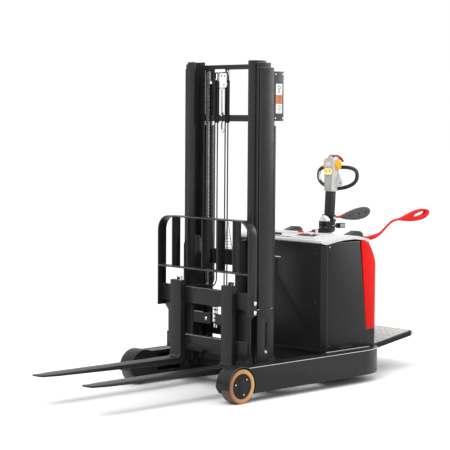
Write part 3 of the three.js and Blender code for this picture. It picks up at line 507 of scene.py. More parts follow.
def circ(r, n=16, ry=None):
    return [(r * math.cos(2 * math.pi * i / n), (ry or r) * math.sin(2 * math.pi * i / n)) for i in range(n)]

def spline(pts, n):
    P = [Vector(p) for p in pts]
    P = [P[0] * 2 - P[1]] + P + [P[-1] * 2 - P[-2]]
    out = []
    seg = len(P) - 3
    for k in range(n + 1):
        t = k / n * seg
        i = min(int(t), seg - 1)
        t -= i
        p0, p1, p2, p3 = P[i:i + 4]
        out.append(0.5 * ((2 * p1) + (p2 - p0) * t + (2 * p0 - 5 * p1 + 4 * p2 - p3) * t * t + (3 * p1 - 3 * p2 + p3 - p0) * t ** 3))
    return out

def X(mm):
    return mm / 1000 + SX

# ------------------------------------------------------------------ small builders
def done(name, parts, body, angle=38, mat4=None):
    o = merge_parts(name, parts)
    finish_shading(o.data, angle)
    if mat4 is not None:
        o.data.transform(mat4)
    return place(o, body)

def slab(outline, z0, z1, mat, ch=0.0006):
    """flat piece from an outline in x, y with a small chamfer round its top"""
    n = len(outline)
    cx = sum(p[0] for p in outline) / n
    cy = sum(p[1] for p in outline) / n
    v, f = [], []
    for z, k in ((z0, 0.0), (z1 - ch, 0.0), (z1, ch)):
        for x, y in outline:
            d = math.hypot(x - cx, y - cy) or 1
            v.append((x - (x - cx) / d * k, y - (y - cy) / d * k, z))
    for k in range(2):
        for i in range(n):
            j = (i + 1) % n
            f.append((k * n + i, k * n + j, (k + 1) * n + j, (k + 1) * n + i))
    f.append(tuple(reversed(range(n))))
    f.append(tuple(2 * n + i for i in range(n)))
    return v, f, mat

def rrect(x0, x1, y0, y1, r, n=5):
    out = []
    for cx, cy, a0 in ((x1 - r, y1 - r, 0), (x0 + r, y1 - r, 90), (x0 + r, y0 + r, 180), (x1 - r, y0 + r, 270)):
        for i in range(n + 1):
            a = D(a0 + 90 * i / n)
            out.append((cx + r * math.cos(a), cy + r * math.sin(a)))
    return out

def turn(part, M):
    v, f, m = part
    return [M @ Vector(p) for p in v], f, m

def face_x(x, side=1):
    """takes a slab drawn in (u, v, depth) to y = u, z = v, standing out along x"""
    return Matrix(((0, 0, side, x), (1, 0, 0, 0), (0, 1, 0, 0), (0, 0, 0, 1)))

def face_y(y, side=1):
    return Matrix(((1, 0, 0, 0), (0, 0, side, y), (0, 1, 0, 0), (0, 0, 0, 1)))

# ------------------------------------------------------------------ chassis, legs, wheels
# legs: their rounded edges carry a painted sheen, the upward ones a bright painted highlight
for n in ("leg_left", "leg_right"):
    soften(n, "black_paint", 0.0045, 3, 50, edge="painted_highlight_leg_edge", cut=0.35)
soften("chassis_frame", "black_paint", 0.003)
for s in ("left", "right"):
    soften("load_tyre_" + s, "load_tyre_pu", 0.002)
    soften("load_hub_" + s, ["hub_paint"], 0.0015)
    sg = 1 if s == "left" else -1
    parts = []
    for a in (15, 135, 255):
        c = (X(56 * math.cos(D(a))), sg * 0.5232, 0.111 + 0.056 * math.sin(D(a)))
        parts += hexbolt(c, (0, sg, 0), 0.0055)
    for a in range(0, 360, 30):
        c = (X(70 * math.cos(D(a))), sg * 0.5198, 0.111 + 0.070 * math.sin(D(a)))
        parts.append(cylp(c, (0, sg, 0), [(0.0026, 0), (0.0024, 0.0012), (0.0012, 0.0016)], "dark_steel", 8))
    parts.append(cylp((X(0), sg * 0.5236, 0.111), (0, sg, 0), [(0.022, 0), (0.021, 0.0009), (0.008, 0.0012)], "dark_steel", 24))
    o = merge_parts("hub_bolts_" + s, parts)
    finish_shading(o.data)
    o.data.transform(Matrix.Translation((0, -sg * 0.0040, 0)))
    place(o, "load_wheel_" + s)
    soften("caster_fork_" + s, "zinc", 0.001)
    soften("caster_wheel_" + s, "black_rubber", 0.002)
soften("drive_gearbox", "hydro_grey", 0.003)
soften("drive_motor", "hydro_grey", 0.004)
soften("drive_wheel", "tyre_pu", 0.002)
# covers: their rounded edges carry a painted sheen
soften("front_cover", "black_cover", 0.0025, edge="painted_sheen_edge")
soften("side_cover_left", "black_cover", 0.003, edge="painted_sheen_edge")
soften("side_cover_right", "black_cover", 0.003, edge="painted_sheen_edge")
soften("corner_panel_left", "red_plastic", 0.003)
soften("corner_panel_right", "red_plastic", 0.003)
soften("rear_cover", "black_cover", 0.003, edge="painted_sheen_edge")

def cover_tweak(c, nrm):
    xm = (c.x - SX) * 1000
    zm, ym = c.z * 1000, abs(c.y) * 1000
    if 261 < ym < 313.5 and xm < -1178:
        pts = [(-1100, 992), (-1200, 982), (-1293, 960), (-1318, 940), (-1400, 930)]
        for (x1, z1), (x0, z0) in zip(pts, pts[1:]):
            if x0 <= xm <= x1:
                zs = z0 + (z1 - z0) * (xm - x0) / (x1 - x0)
                if zm > zs + 1.2 or xm < -1320:
                    return 1
    if zm < 973 and -906 < xm < -885 and -302 < c.y * 1000 < 61 and zm > 958:
        return 1
    return None

o = soften("top_cover", ["cover_white", "soft_black"], 0.004, 3, tweak=cover_tweak)
soften("emergency_stop", "red_plastic", 0.001)
soften("key_switch", "chrome", 0.0005)
soften("battery", "battery_grey", 0.004)
soften("hydraulic_unit", "hydro_grey", 0.004)
soften("controller", "hydro_grey", 0.002)
soften("reach_cylinder_barrel", "bright_steel", 0.001)
soften("reach_cylinder_rod", "chrome", 0.001)

# things let into the top cover
def cover_z(xm):
    pts = [(-846, 966), (-900, 972), (-1000, 988), (-1120, 992), (-1200, 982), (-1293, 960)]
    for (x1, z1), (x0, z0) in zip(pts, pts[1:]):
        if x0 <= xm <= x1:
            return (z0 + (z1 - z0) * (xm - x0) / (x1 - x0)) / 1000
    return 0.97
def strip(xa, xb, ya, yb, up, mat):
    v = [(X(x), y / 1000, cover_z(x) + u) for x in (xa, xb) for y in (ya, yb) for u in (-0.002, up)]
    f = [(0, 1, 3, 2), (4, 6, 7, 5), (0, 4, 5, 1), (2, 3, 7, 6), (0, 2, 6, 4), (1, 5, 7, 3)]
    return v, f, mat
parts = [strip(-893, -887, -300, 300, 0.0006, "soft_black"), strip(-1034, -1028, -110, 250, 0.0006, "soft_black"),
         strip(-1030, -890, -303, -299, 0.0006, "soft_black"),
         strip(-944, -926, -152, -62, 0.0012, "soft_black"), strip(-941, -929, -146, -68, 0.013, "soft_black"),
         strip(-1012, -950, 60, 220, 0.0016, "soft_black"), strip(-1004, -958, 68, 150, 0.0028, "vent"), strip(-1004, -958, 158, 212, 0.0024, "dark_steel")]
for y in (172, 198):
    parts.append(cylp((X(-981), y / 1000, cover_z(-981) + 0.002), (0, 0, 1), [(0.0075, 0), (0.0075, 0.003), (0.005, 0.005), (0.001, 0.0055)], "zinc" if y < 180 else "soft_black", 16))
for y in (-250, 290):
    for x in (-930, -1150):
        parts.append(cylp((X(x), y / 1000, cover_z(x) - 0.0005), (0, 0, 1), [(0.007, 0), (0.0065, 0.0018), (0.003, 0.0024)], "zinc", 14))
parts.append(cylp((X(-1060), 0, cover_z(-1060) - 0.0008), (0, 0, 1), [(0.0215, 0), (0.031, 0), (0.0305, 0.0022), (0.0225, 0.0030), (0.0215, 0)], "pale_yellow", 32, cap=False))
parts.append(cylp((X(-1090), 0.120, cover_z(-1090) - 0.0008), (0, 0, 1), [(0.0100, 0), (0.017, 0), (0.016, 0.0025), (0.0105, 0.0030), (0.0100, 0)], "soft_black", 28, cap=False))
done("cover_fittings", parts, "chassis")

# ribbed grip on the stop knob, arrow-free
parts = []
for i in range(18):
    a = 2 * math.pi * i / 18
    M = Matrix.Translation((X(-1060), 0, 0.994)) @ Matrix.Rotation(a, 4, "Z")
    parts.append(turn(boxp(0.0192, 0.0206, -0.0013, 0.0013, -0.004, 0.002, "red_plastic"), M))
done("stop_knob_ribs", parts, "stop_knob")

# front cover: latch handle and screws; side covers: screws and a lifting recess
parts = []
parts.append(turn(slab(rrect(-0.058, 0.014, 0.8330, 0.8385, 0.0025), 0, 0.0030, "zinc"), face_x(X(-850.2))))
parts.append(turn(slab(rrect(-0.062, 0.018, 0.828, 0.844, 0.005), 0, 0.0008, "soft_black"), face_x(X(-850.2))))
for y in (-0.34, 0.34):
    for z in (0.27, 0.55, 0.88):
        parts.append(cylp((X(-850.2), y, z), (1, 0, 0), [(0.0065, 0), (0.006, 0.0018), (0.002, 0.0026)], "dark_steel", 14))
done("front_cover_fittings", parts, "chassis")
parts = []
for sg in (1, -1):
    y = sg * 0.4178
    pts = [(-905, 0.262), (-905, 0.905), (-1225, 0.262)] + ([(-767, 0.919)] if False else [])
    for x, z in pts:
        parts.append(cylp((X(x), y, z), (0, sg, 0), [(0.0065, 0), (0.006, 0.0016), (0.002, 0.0024)], "dark_steel", 14))
    parts.append(cylp((X(-902), y, 0.925), (0, sg, 0), [(0.0050, 0), (0.0045, 0.0016), (0.002, 0.0022)], "zinc", 14))
    fr = rrect(X(-1130), X(-1010), 0.236, 0.2465, 0.004)
    parts.append(turn(slab([(x, z) for x, z in fr], 0, 0.0016, "soft_black"), face_y(y, sg)))
done("side_cover_screws", parts, "chassis")
parts = [turn(slab([(y, z) for y, z in rrect(-0.15, 0.15, 0.60, 0.72, 0.012)], 0, 0.0016, "vent"), face_x(X(-1381.5), -1))]
for y in (-0.2, 0.2):
    for z in (0.27, 0.74):
        parts.append(cylp((X(-1392.6 if z < 0.5 else -1380.3), y, z), (-1, 0, 0), [(0.0065, -0.002), (0.0065, 0), (0.006, 0.0018), (0.002, 0.0026)], "dark_steel", 14))
done("rear_cover_fittings", parts, "chassis")
# painted highlight lines along the legs' upper outer edges, and along the covers' lower edges where they meet the legs
parts = []
for sg in (1, -1):
    pts = [(X(-62), sg * 0.5243, 0.2190)] + [(X(-120 - 93.4 * i), sg * 0.5243, 0.2193 + 0.0002 * math.sin(i * 2.1)) for i in range(12)]
    for i in range(1, 11):
        a_ = D(90 + 9 * i)
        pts.append((X(-1147 + 242.4 * math.cos(a_)), sg * (0.373 + 0.1514 * math.sin(a_)), 0.2193))
    parts.append(sweep("s", pts, circ(0.0020, 8), "painted_highlight_leg_edge", (0, 0, 1)))
    pts = [(X(-876 - 36 * i), sg * 0.4196, 0.2218 + 0.0003 * math.sin(i * 2.1)) for i in range(13)]
    parts.append(sweep("s", pts, circ(0.0024, 8), "painted_highlight_leg_edge", (0, 1, 0)))
done("leg_edge_painted_highlights", parts, "chassis")

# ------------------------------------------------------------------ mast
# mast, carriage, backrest and forks: rounded edges facing up carry a painted highlight, the others a painted sheen
soften("reach_carriage", "black_paint", 0.0025, edge="painted_highlight_edge")
soften("outer_mast", "mast_paint", 0.003, edge="painted_highlight_edge")
soften("middle_mast", "mast_paint", 0.0025, edge="painted_highlight_edge")
soften("inner_mast", "mast_paint", 0.002, edge="painted_highlight_edge")
soften("lift_barrel_left", "mast_paint", 0.002)
soften("lift_barrel_right", "mast_paint", 0.002)
soften("lift_rod_left", "chrome", 0.001)
soften("lift_rod_right", "chrome", 0.001)
soften("label_plate", "sticker_dark", 0.001)
soften("fork_carriage", "mast_paint", 0.003, edge="painted_highlight_edge")
soften("backrest", "mast_paint", 0.0015, edge="painted_highlight_edge")
soften("fork_left", "fork_paint", 0.004, 3, edge="painted_highlight_edge", edge_low="painted_sheen_edge")
soften("fork_right", "fork_paint", 0.004, 3, edge="painted_highlight_edge", edge_low="painted_sheen_edge")
soften("chain_pulley_left", "zinc", 0.0008)
soften("chain_pulley_right", "zinc", 0.0008)
soften("hose_sheave", "bright_steel", 0.0006)

# generic sticker on the label plate: pale top with a round mark, orange band, pale lower part with grey bars
M = face_y(0.3577, 1)
sx0, sx1 = X(-497), X(-441)
parts = [turn(slab(rrect(sx0, sx1, 1.925, 1.995, 0.004), 0, 0.0008, "sticker_white"), M),
         turn(slab(rrect(sx0, sx1, 1.868, 1.923, 0.003), 0, 0.0008, "sticker_orange"), M),
         turn(slab(rrect(sx0, sx1, 1.806, 1.866, 0.003), 0, 0.0008, "sticker_white"), M)]
cx = (sx0 + sx1) / 2
parts.append(cylp((cx, 0.3584, 1.972), (0, 1, 0), [(0.014, 0), (0.014, 0.0005), (0.0085, 0.0005), (0.0085, 0)], "sticker_dark", 24, cap=False))
parts.append(cylp((cx, 0.3584, 1.945), (0, 1, 0), [(0.010, 0), (0.010, 0.0005), (0.0055, 0.0005), (0.0055, 0)], "sticker_dark", 24, cap=False))
for i in range(5):
    z = 1.876 + i * 0.0095
    parts.append(turn(slab(rrect(sx0 + 0.006, sx1 - 0.006 - 0.006 * (i % 3), z, z + 0.0035, 0.001), 0.0008, 0.0011, "sticker_dark", 0.0001), M))
for i in range(6):
    z = 1.812 + i * 0.0088
    parts.append(turn(slab(rrect(sx0 + 0.007, sx1 - 0.007 - 0.005 * ((i * 2) % 3), z, z + 0.0028, 0.001), 0.0008, 0.0011, "sticker_dark", 0.0001), M))
for z in (1.775, 2.056):
    for x in (-500, -436):
        parts.append(cylp((X(x), 0.3576, z), (0, 1, 0), [(0.0055, 0), (0.005, 0.0016), (0.002, 0.0022)], "zinc", 12))
done("sticker", parts, "mast_base")

# leaf chains: plates in turn on pins
def leaf_chain(name, y, path, body, squashed=None, w=0.0215, pitch=0.0150):
    P = [Vector(p) for p in path]
    seg = [(P[i + 1] - P[i]).length for i in range(len(P) - 1)]
    total = sum(seg)
    n = int(total / pitch)
    def at(d):
        for i, L in enumerate(seg):
            if d <= L or i == len(seg) - 1:
                t = (P[i + 1] - P[i]).normalized()
                return P[i] + t * min(d, L), t
            d -= L
    parts = []
    for k in range(n):
        a, _ = at(k * pitch)
        b, _ = at(min((k + 1) * pitch, total))
        t = (b - a)
        if t.length < 1e-5:
            continue
        t.normalize()
        nn = Vector((0, 1, 0)).cross(t).normalized()
        mid = (a + b) / 2
        h, L = 0.0068, pitch / 2 + 0.0045
        M = Matrix(((t.x, 0, nn.x, mid.x), (t.y, 1, nn.y, mid.y), (t.z, 0, nn.z, mid.z), (0, 0, 0, 1)))
        ys = ((-w / 2, -w / 2 + 0.0036), (-0.0018, 0.0018), (w / 2 - 0.0036, w / 2)) if k % 2 else ((-w / 2 + 0.0040, -0.0022), (0.0022, w / 2 - 0.0040))
        for y0, y1 in ys:
            ol = [(L, h * 0.45), (L * 0.72, h), (0, h * 0.72), (-L * 0.72, h), (-L, h * 0.45), (-L, -h * 0.45), (-L * 0.72, -h), (0, -h * 0.72), (L * 0.72, -h), (L, -h * 0.45)]
            v = [(x, yy, z) for yy in (y0, y1) for x, z in ol]
            m = len(ol)
            f = [tuple(range(m)), tuple(reversed(range(m, 2 * m)))] + [(i, i + m, (i + 1) % m + m, (i + 1) % m) for i in range(m)]
            parts.append(turn((v, f, "chain_plate"), M))
        parts.append(cylp(a - Vector((0, w / 2 + 0.0012, 0)), (0, 1, 0), [(0.0034, 0), (0.0034, w + 0.0024)], "zinc", 8))
    o = merge_parts(name, parts)
    finish_shading(o.data)
    place(o, body)
    return o
mk("chain_plate", (0.16, 0.16, 0.16), 0.40, 0.55, var=0.35, var_scale=40, bump=0.0001, bump_scale=500)
for s, sg in (("left", 1), ("right", -1)):
    y = sg * 0.208
    cxp = X(-406)
    front = [(X(-372), y, 0.668), (X(-372), y, 2.050)]
    over = [(cxp + 0.034 * math.cos(math.pi * i / 12), y, 2.050 + 0.034 * math.sin(math.pi * i / 12)) for i in range(13)] + [(X(-440), y, 1.802)]
    f = leaf_chain("leaf_chain_front_" + s, y, front, "mast_inner")
    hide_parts("lift_chain_" + s)
    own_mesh(f)
    leaf_chain("leaf_chain_rear_" + s, y, over, "mast_inner")
    parts = [cylp((X(-372), y, 0.6622), (0, 0, 1), [(0.0065, -0.05), (0.0065, 0.006)], "zinc", 12)]
    parts.append(cylp((X(-372), y, 0.6622), (0, 0, 1), [(0.011, 0.0002), (0.011, 0.009)], "zinc", 6))
    parts.append(boxp(X(-372) - 0.006, X(-372) + 0.006, y - 0.009, y + 0.009, 0.671, 0.690, "zinc"))
    done("chain_anchor_" + s, parts, "fork_mount")

# hoses: long strands to the carriage, tight loop on the sheave
HY, HZ = -0.088, 2.037
for n, r, z0 in (("hose_inner", 0.037, 0.4206), ("hose_outer", 0.0625, 0.4206)):
    hx = X(-382)
    loop = [(hx, HY + r, z0)] + [(hx, HY + r, z) for z in (0.9, 1.5, 1.9)] + [(hx, HY + r * math.cos(math.pi * i / 16), HZ + r * math.sin(math.pi * i / 16)) for i in range(17)]
    o = done(n + "_loop", [sweep("h", loop, circ(0.0045, 14), "hose_rubber", (0.3, 0, 1))], "mast_inner")
    down = [(hx, HY - r, HZ), (hx, HY - r, 1.5), (hx, HY - r, 1.0), (hx, HY - r, 0.70), (hx + 0.014, HY - r, 0.672), (hx + 0.060, HY - r, 0.646), (hx + 0.106, HY - r, 0.640)]
    pts = down[:4] + [tuple(p) for p in spline(down[3:], 10)][1:]
    o2 = done(n + "_run", [sweep("h", pts, circ(0.0045, 14), "hose_rubber", (0.3, 1, 0.2))], "mast_inner")
    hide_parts(n)
    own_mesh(o2)
    for sgn, zz in ((1, z0 - 0.002),):
        parts = [cylp((hx, HY + r, zz), (0, 0, 1), [(0.0075, 0), (0.0075, 0.012), (0.0066, 0.013), (0.0066, 0.040), (0.0058, 0.042)], "zinc", 14)]
        parts.append(cylp((hx, HY + r, zz), (0, 0, 1), [(0.0095, 0.012), (0.0095, 0.020)], "zinc", 6))
        done(n + "_foot", parts, "mast_inner")
    parts = [cylp((hx + 0.0985, HY - r, 0.640), (1, 0, 0), [(0.0070, 0), (0.0070, 0.010)], "zinc", 14), cylp((hx + 0.1045, HY - r, 0.640), (1, 0, 0), [(0.0095, 0), (0.0095, 0.0065)], "zinc", 6)]
    done(n + "_end", parts, "fork_mount")

# sheave bracket, tension rod with its nuts and hook, cover bolts
bx = X(-392.8)
outl = rrect(HY - 0.056, HY + 0.056, 1.972, 2.092, 0.016)
parts = [turn(slab(outl, 0, 0.0026, "bright_zinc"), face_x(bx))]
parts.append(turn(slab(rrect(HY - 0.006, HY + 0.058, 1.974, 2.066, 0.008), 0, 0.0022, "bright_zinc"), face_x(X(-372.0))))
parts.append(boxp(X(-392), X(-371.0), HY + 0.0500, HY + 0.0560, 1.985, 2.005, "bright_zinc"))
parts.append(boxp(X(-392), X(-371.0), HY + 0.0130, HY + 0.0280, 1.9745, 1.9800, "bright_zinc"))
parts.append(turn(slab(rrect(HY - 0.058, HY + 0.040, 2.074, 2.094, 0.005), 0, 0.0022, "bright_zinc"), face_x(X(-376.5))))
for yy, zz in ((0.036, 1.99), (0.012, 2.052), (0.044, 2.05)):
    parts += hexbolt((X(-369.9), HY + yy, zz), (1, 0, 0), 0.0042, "dark_steel")
parts.append(cylp((X(-374.8), HY, HZ), (1, 0, 0), [(0.0075, 0), (0.0075, 0.0026)], "zinc", 12))
for yy in (-0.044, 0.044):
    for zz in (1.986, 2.078):
        parts += hexbolt((bx + 0.0024, HY + yy, zz), (1, 0, 0), 0.0052)
rod = [(X(-386), HY, 1.955), (X(-386), HY, 1.725)]
parts.append(cylp((X(-386), HY, 1.700), (0, 0, 1), [(0.0045, 0), (0.0045, 0.268)], "dark_steel", 12))
for i in range(50):
    z = 1.806 + i * 0.0032
    parts.append(cylp((X(-386), HY, z), (0, 0, 1), [(0.0045, 0), (0.0054, 0.0008), (0.0054, 0.0014), (0.0045, 0.0022)], "zinc", 10))
parts.append(boxp(X(-392), X(-380), HY - 0.012, HY + 0.012, 1.958, 1.975, "zinc"))
parts.append(cylp((X(-386), HY, 1.7872), (0, 0, 1), [(0.011, 0), (0.011, 0.010)], "zinc", 6))
parts.append(cylp((X(-386), HY, 1.7440), (0, 0, 1), [(0.011, 0), (0.011, 0.010)], "zinc", 6))
hook = [(X(-386), HY, 1.706), (X(-386), HY, 1.690), (X(-386), HY + 0.010, 1.676), (X(-386), HY + 0.020, 1.690), (X(-386), HY + 0.017, 1.702)]
parts.append(sweep("k", spline(hook, 14), circ(0.0036, 8), "zinc", (1, 0, 0)))
for sg in (1, -1):
    ya, yb = HY + sg * 0.0305, HY + sg * 0.0690
    parts.append(turn(slab(rrect(min(ya, yb), max(ya, yb), 1.742, 2.022, 0.005), 0, 0.0024, "mast_paint"), face_x(X(-391.5))))
    for zz in (1.772, 1.995):
        parts += hexbolt((X(-389.1), HY + sg * 0.0497, zz), (1, 0, 0), 0.0032, "dark_steel")
done("sheave_bracket", parts, "mast_inner")

# bolts on the mast ties and backrest straps, latches, carriage fittings, and painted highlight lines along the carriage
# bars drawn as weld beads
parts = []
for sg in (1, -1):
    for z in (2.106, 1.770):
        for yy in (0.285, 0.300):
            parts += hexbolt((X(-386.9), sg * yy, z), (1, 0, 0), 0.0045)
done("inner_mast_bolts", parts, "mast_inner")
parts = []
for sg in (1, -1):
    for z in (0.606, 0.547):
        parts += dome((X(-185), sg * 0.4444, z), (0, sg, 0), 0.0135)
parts += dome((X(-198.8), -0.028, 0.466), (1, 0, 0), 0.012)
for yy in (0.026, 0.046):
    parts.append(cylp((X(-226), yy, 0.410), (0, 0, 1), [(0.0060, 0), (0.0060, 0.136), (0.0090, 0.137), (0.0090, 0.149)], "zinc", 14))
    for z in (0.438, 0.466, 0.494, 0.522):
        parts.append(cylp((X(-226), yy, z), (0, 0, 1), [(0.0082, 0), (0.0082, 0.008)], "black_rubber", 14))
parts.append(boxp(X(-238), X(-201.5), 0.014, 0.058, 0.546, 0.5605, "mast_paint"))
# a weld-bead-shaped bright line, used as a painted highlight
def painted_highlight_line(x, z, y0, y1, r=0.0016, n=44):
    return sweep("w", [(X(x) + 0.0004 * math.sin(i * 2.3), (y0 + (y1 - y0) * i / n) / 1000, z / 1000 + 0.0005 * math.sin(i * 1.7 + 1)) for i in range(n + 1)], circ(r, 6), "weld_and_painted_highlight", (0, 0, 1), scale=[(1 + 0.6 * math.sin(i * 2.9), 1 + 0.6 * math.sin(i * 2.9)) for i in range(n + 1)])
# painted highlight: a broken bright line along the upper bar's top edge
y = -190.0
i = 0
while y < 186:
    w = 5.5 + 3.5 * math.sin(i * 2.1) + 1.5 * math.sin(i * 0.7)
    h = 1.7 + 0.5 * math.sin(i * 1.3)
    parts.append(boxp(X(-167.3), X(-166.72), y / 1000, (y + max(w, 2.2)) / 1000, 0.6655 - h / 1000, 0.6656, "weld_and_painted_highlight"))
    y += max(w, 2.2) + 2.0 + 1.2 * math.sin(i * 3.3)
    i += 1
# painted highlight lines along the lower bar's top and on the tie
parts.append(painted_highlight_line(-166.4, 347.6, -170, 190, 0.0016))
parts.append(painted_highlight_line(-199, 504.5, -140, -60, 0.0024))
parts.append(painted_highlight_line(-166.6, 347.2, -190, -130, 0.0018))
done("carriage_fittings", parts, "fork_mount")
for s, sg in (("left", 1), ("right", -1)):
    mt = "zinc" if s == "right" else "dark_steel"
    yc = sg * 0.245 + 0.036
    parts = [boxp(X(-156), X(-128), yc - 0.011, yc + 0.011, 0.7068, 0.711, mt), cylp((X(-141), yc, 0.711), (0, 0, 1), [(0.0075, 0), (0.0075, 0.010), (0.0115, 0.011), (0.0115, 0.017), (0.006, 0.020)], mt, 16)]
    parts.append(sweep("l", spline([(X(-141), yc, 0.728), (X(-136), yc - 0.010, 0.731), (X(-130), yc - 0.018, 0.728)], 6), circ(0.0036, 8), mt, (0, 0, 1)))
    done("fork_latch_" + s, parts, s + "_fork")
parts = []
for sg in (1, -1):
    y = sg * 0.3640
    for x in (-289.5, -410):
        parts.append(sweep("w", [(X(x) + (i - 4) * 0.0026, y, 0.5515 + 0.0005 * math.sin(i * 2)) for i in range(9)], circ(0.0016, 6), "weld_and_painted_highlight", (0, 1, 0)))
    parts += hexbolt((X(-360), y, 0.272), (0, sg, 0), 0.008)
    parts.append(cylp((X(-461), sg * 0.293, 1.7226), (0, 0, 1), [(0.0252, 0), (0.036, 0), (0.036, 0.003), (0.033, 0.0045), (0.0252, 0.0045), (0.0252, 0)], "dark_steel", 28, cap=False))
    parts.append(cylp((X(-461), sg * 0.293, 0.112), (0, 0, 1), [(0.0352, 0), (0.041, 0), (0.041, 0.030), (0.0352, 0.033)], "dark_steel", 28, cap=False))
# a light ladder-shaped hose guide on the outer mast's upper tie
gx = -417
la, lb = (X(gx), -0.086, 0.905), (X(gx), -0.062, 1.085)
ra, rb = (X(gx), -0.012, 0.905), (X(gx), -0.052, 1.085)
for p0, p1 in ((la, lb), (ra, rb)):
    parts.append(sweep("g", [tuple(Vector(p0).lerp(Vector(p1), t / 6)) for t in range(7)], circ(0.0030, 8), "zinc", (0, 1, 0)))
for i in range(9):
    t = 0.06 + i * 0.115
    q0, q1 = Vector(la).lerp(Vector(lb), t), Vector(ra).lerp(Vector(rb), t)
    parts.append(sweep("g", [tuple(q0.lerp(q1, k / 2)) for k in range(3)], circ(0.0022, 6), "zinc", (0, 0, 1)))
parts.append(boxp(X(-422), X(-412), -0.094, -0.004, 0.9038, 0.908, "dark_steel"))
done("mast_base_fittings", parts, "mast_base")
parts = []
for sg in (1, -1):
    c_ = (X(-461), sg * 0.293, 1.7285)
    parts.append(cylp(c_, (0, 0, 1), [(0.0212, 0), (0.0238, 0.0), (0.0243, 0.003), (0.0243, 0.0392), (0.0212, 0.0392), (0.0212, 0)], "soft_black", 28, cap=False))
    for k in range(6):
        parts.append(cylp((c_[0], c_[1], c_[2] + 0.004 + k * 0.006), (0, 0, 1), [(0.0243, 0), (0.0247, 0.001), (0.0247, 0.002), (0.0243, 0.003)], "soft_black", 28, cap=False))
done("rod_collars", parts, "mast_middle")

# ------------------------------------------------------------------ tiller
# tiller base and tube: rounded edges carry a painted sheen
soften("tiller_base", "black_paint", 0.003, edge="painted_sheen_edge")
soften("tiller_tube", "black_paint", 0.004, 3, edge="painted_sheen_edge")
soften("handle_head", ["grey_plastic", "light_plastic"], 0.007, 3, tweak=lambda c, n: 1 if n.y > 0.6 or n.z > 0.7 else None)
RC = Vector((X(-1347) + (-0.060 * math.cos(D(3.3)) - 0.292 * math.sin(D(3.3))), 0, 1.080 + (-0.060 * math.sin(D(3.3)) + 0.292 * math.cos(D(3.3)))))
def ring_tweak(c, n):
    d = RC - c
    d.x = 0
    if d.length < 1e-6:
        return None
    return 1 if n.dot(d.normalized()) > 0.66 else None
soften("handle_ring", ["soft_black", "light_plastic"], 0, tweak=ring_tweak)
soften("throttle_wings", "yellow", 0.003)
soften("belly_switch", "dark_red", 0.002)
soften("lift_button", "yellow", 0.001)
soften("lower_button", "yellow", 0.001)
HM = Matrix.Translation((X(-1347), 0, 1.080)) @ Matrix.Rotation(-D(3.3), 4, "Y")
parts = [turn(slab(rrect(-0.033, 0.033, 0.351, 0.398, 0.008), 0, 0.0030, "face_grey"), face_x(0.0355)),
         turn(slab(rrect(-0.034, 0.034, 0.302, 0.346, 0.010), 0, 0.0042, "pale_yellow"), face_x(0.0338)),
         turn(slab(rrect(-0.018, 0.018, 0.368, 0.388, 0.003), 0, 0.0010, "light_plastic"), face_x(0.0384)),
         turn(slab(rrect(-0.026, 0.026, 0.205, 0.290, 0.010), 0, 0.0012, "grey_plastic"), face_x(0.0320))]
for sg in (1, -1):
    parts.append(cylp((0.0322, sg * 0.018, 0.222), (1, 0, 0), [(0.0035, 0), (0.003, 0.0014), (0.001, 0.0018)], "dark_steel", 10))
    web = [(0.035, 0.225), (0.050, 0.222), (0.084, 0.240), (0.080, 0.262), (0.052, 0.300), (0.040, 0.318)]
    web = web if sg > 0 else [(-y, z) for y, z in reversed(web)]
    parts.append(turn(slab(web, -0.005, 0.004, "light_plastic"), face_x(-0.030)))
    parts.append(cylp((-0.022, sg * 0.0385, 0.388), (0, sg, 0), [(0.0105, -0.002), (0.0105, 0.0012), (0.0078, 0.0016)], "soft_black", 20))
    parts.append(cylp((-0.029, sg * 0.060, 0.250), (1, 0, 0), [(0.0085, 0.002), (0.0085, 0.0055), (0.006, 0.007), (0.001, 0.0072)], "grey_plastic", 18))
done("head_panels", parts, "tiller", mat4=HM)
parts = []
for sg in (1, -1):
    for k in range(5):
        parts.append(boxp(-0.022, 0.011, sg * (0.0448 + k * 0.0052) - 0.0009, sg * (0.0448 + k * 0.0052) + 0.0009, 0.4045, 0.4085, "yellow"))
    parts.append(cylp((-0.006, sg * 0.0702, 0.388), (0, sg, 0), [(0.0075, 0), (0.0070, 0.0022), (0.002, 0.0028)], "brass", 18))
done("wing_ribs", parts, "throttle", mat4=HM)
# silver cap on the front of the tiller base, with its block, seam and screws
prof = []
parts = []
v, f = [], []
NU, NV = 26, 9
for i in range(NV + 1):
    ph = (math.pi / 2) * i / NV
    for k in range(NU):
        th = 2 * math.pi * k / NU
        v.append((X(-1300) + 0.0262 * math.cos(th) * math.cos(ph), 0.0462 * math.sin(th) * math.cos(ph), 1.0595 + 0.0425 * math.sin(ph)))
for i in range(NV):
    for k in range(NU):
        f.append((i * NU + k, i * NU + (k + 1) % NU, (i + 1) * NU + (k + 1) % NU, (i + 1) * NU + k))
f.append(tuple(reversed(range(NU))))
parts.append((v, f, "bright_steel"))
parts.append(turn(slab(rrect(-0.040, 0.040, 1.004, 1.052, 0.006), 0, 0.0020, "soft_black"), face_x(X(-1291.2))))
for yy in (-0.032, 0.032):
    for zz in (1.011, 1.045):
        parts.append(cylp((X(-1289.4), yy, zz), (1, 0, 0), [(0.0036, 0), (0.0032, 0.0014), (0.001, 0.0018)], "zinc", 10))
for sg in (1, -1):
    parts.append(turn(slab(rrect(X(-1354), X(-1330), 1.026, 1.030, 0.001), 0, 0.0010, "zinc"), face_y(sg * 0.0470, sg)))
    parts += hexbolt((X(-1347), sg * 0.0492, 1.080), (0, sg, 0), 0.009)
    parts.append(turn(slab(rrect(X(-1488), X(-1440), 1.009, 1.033, 0.004), 0, 0.0012, "grey_plastic"), face_y(sg * 0.0200, sg)))
done("tiller_base_fittings", parts, "drive_unit")

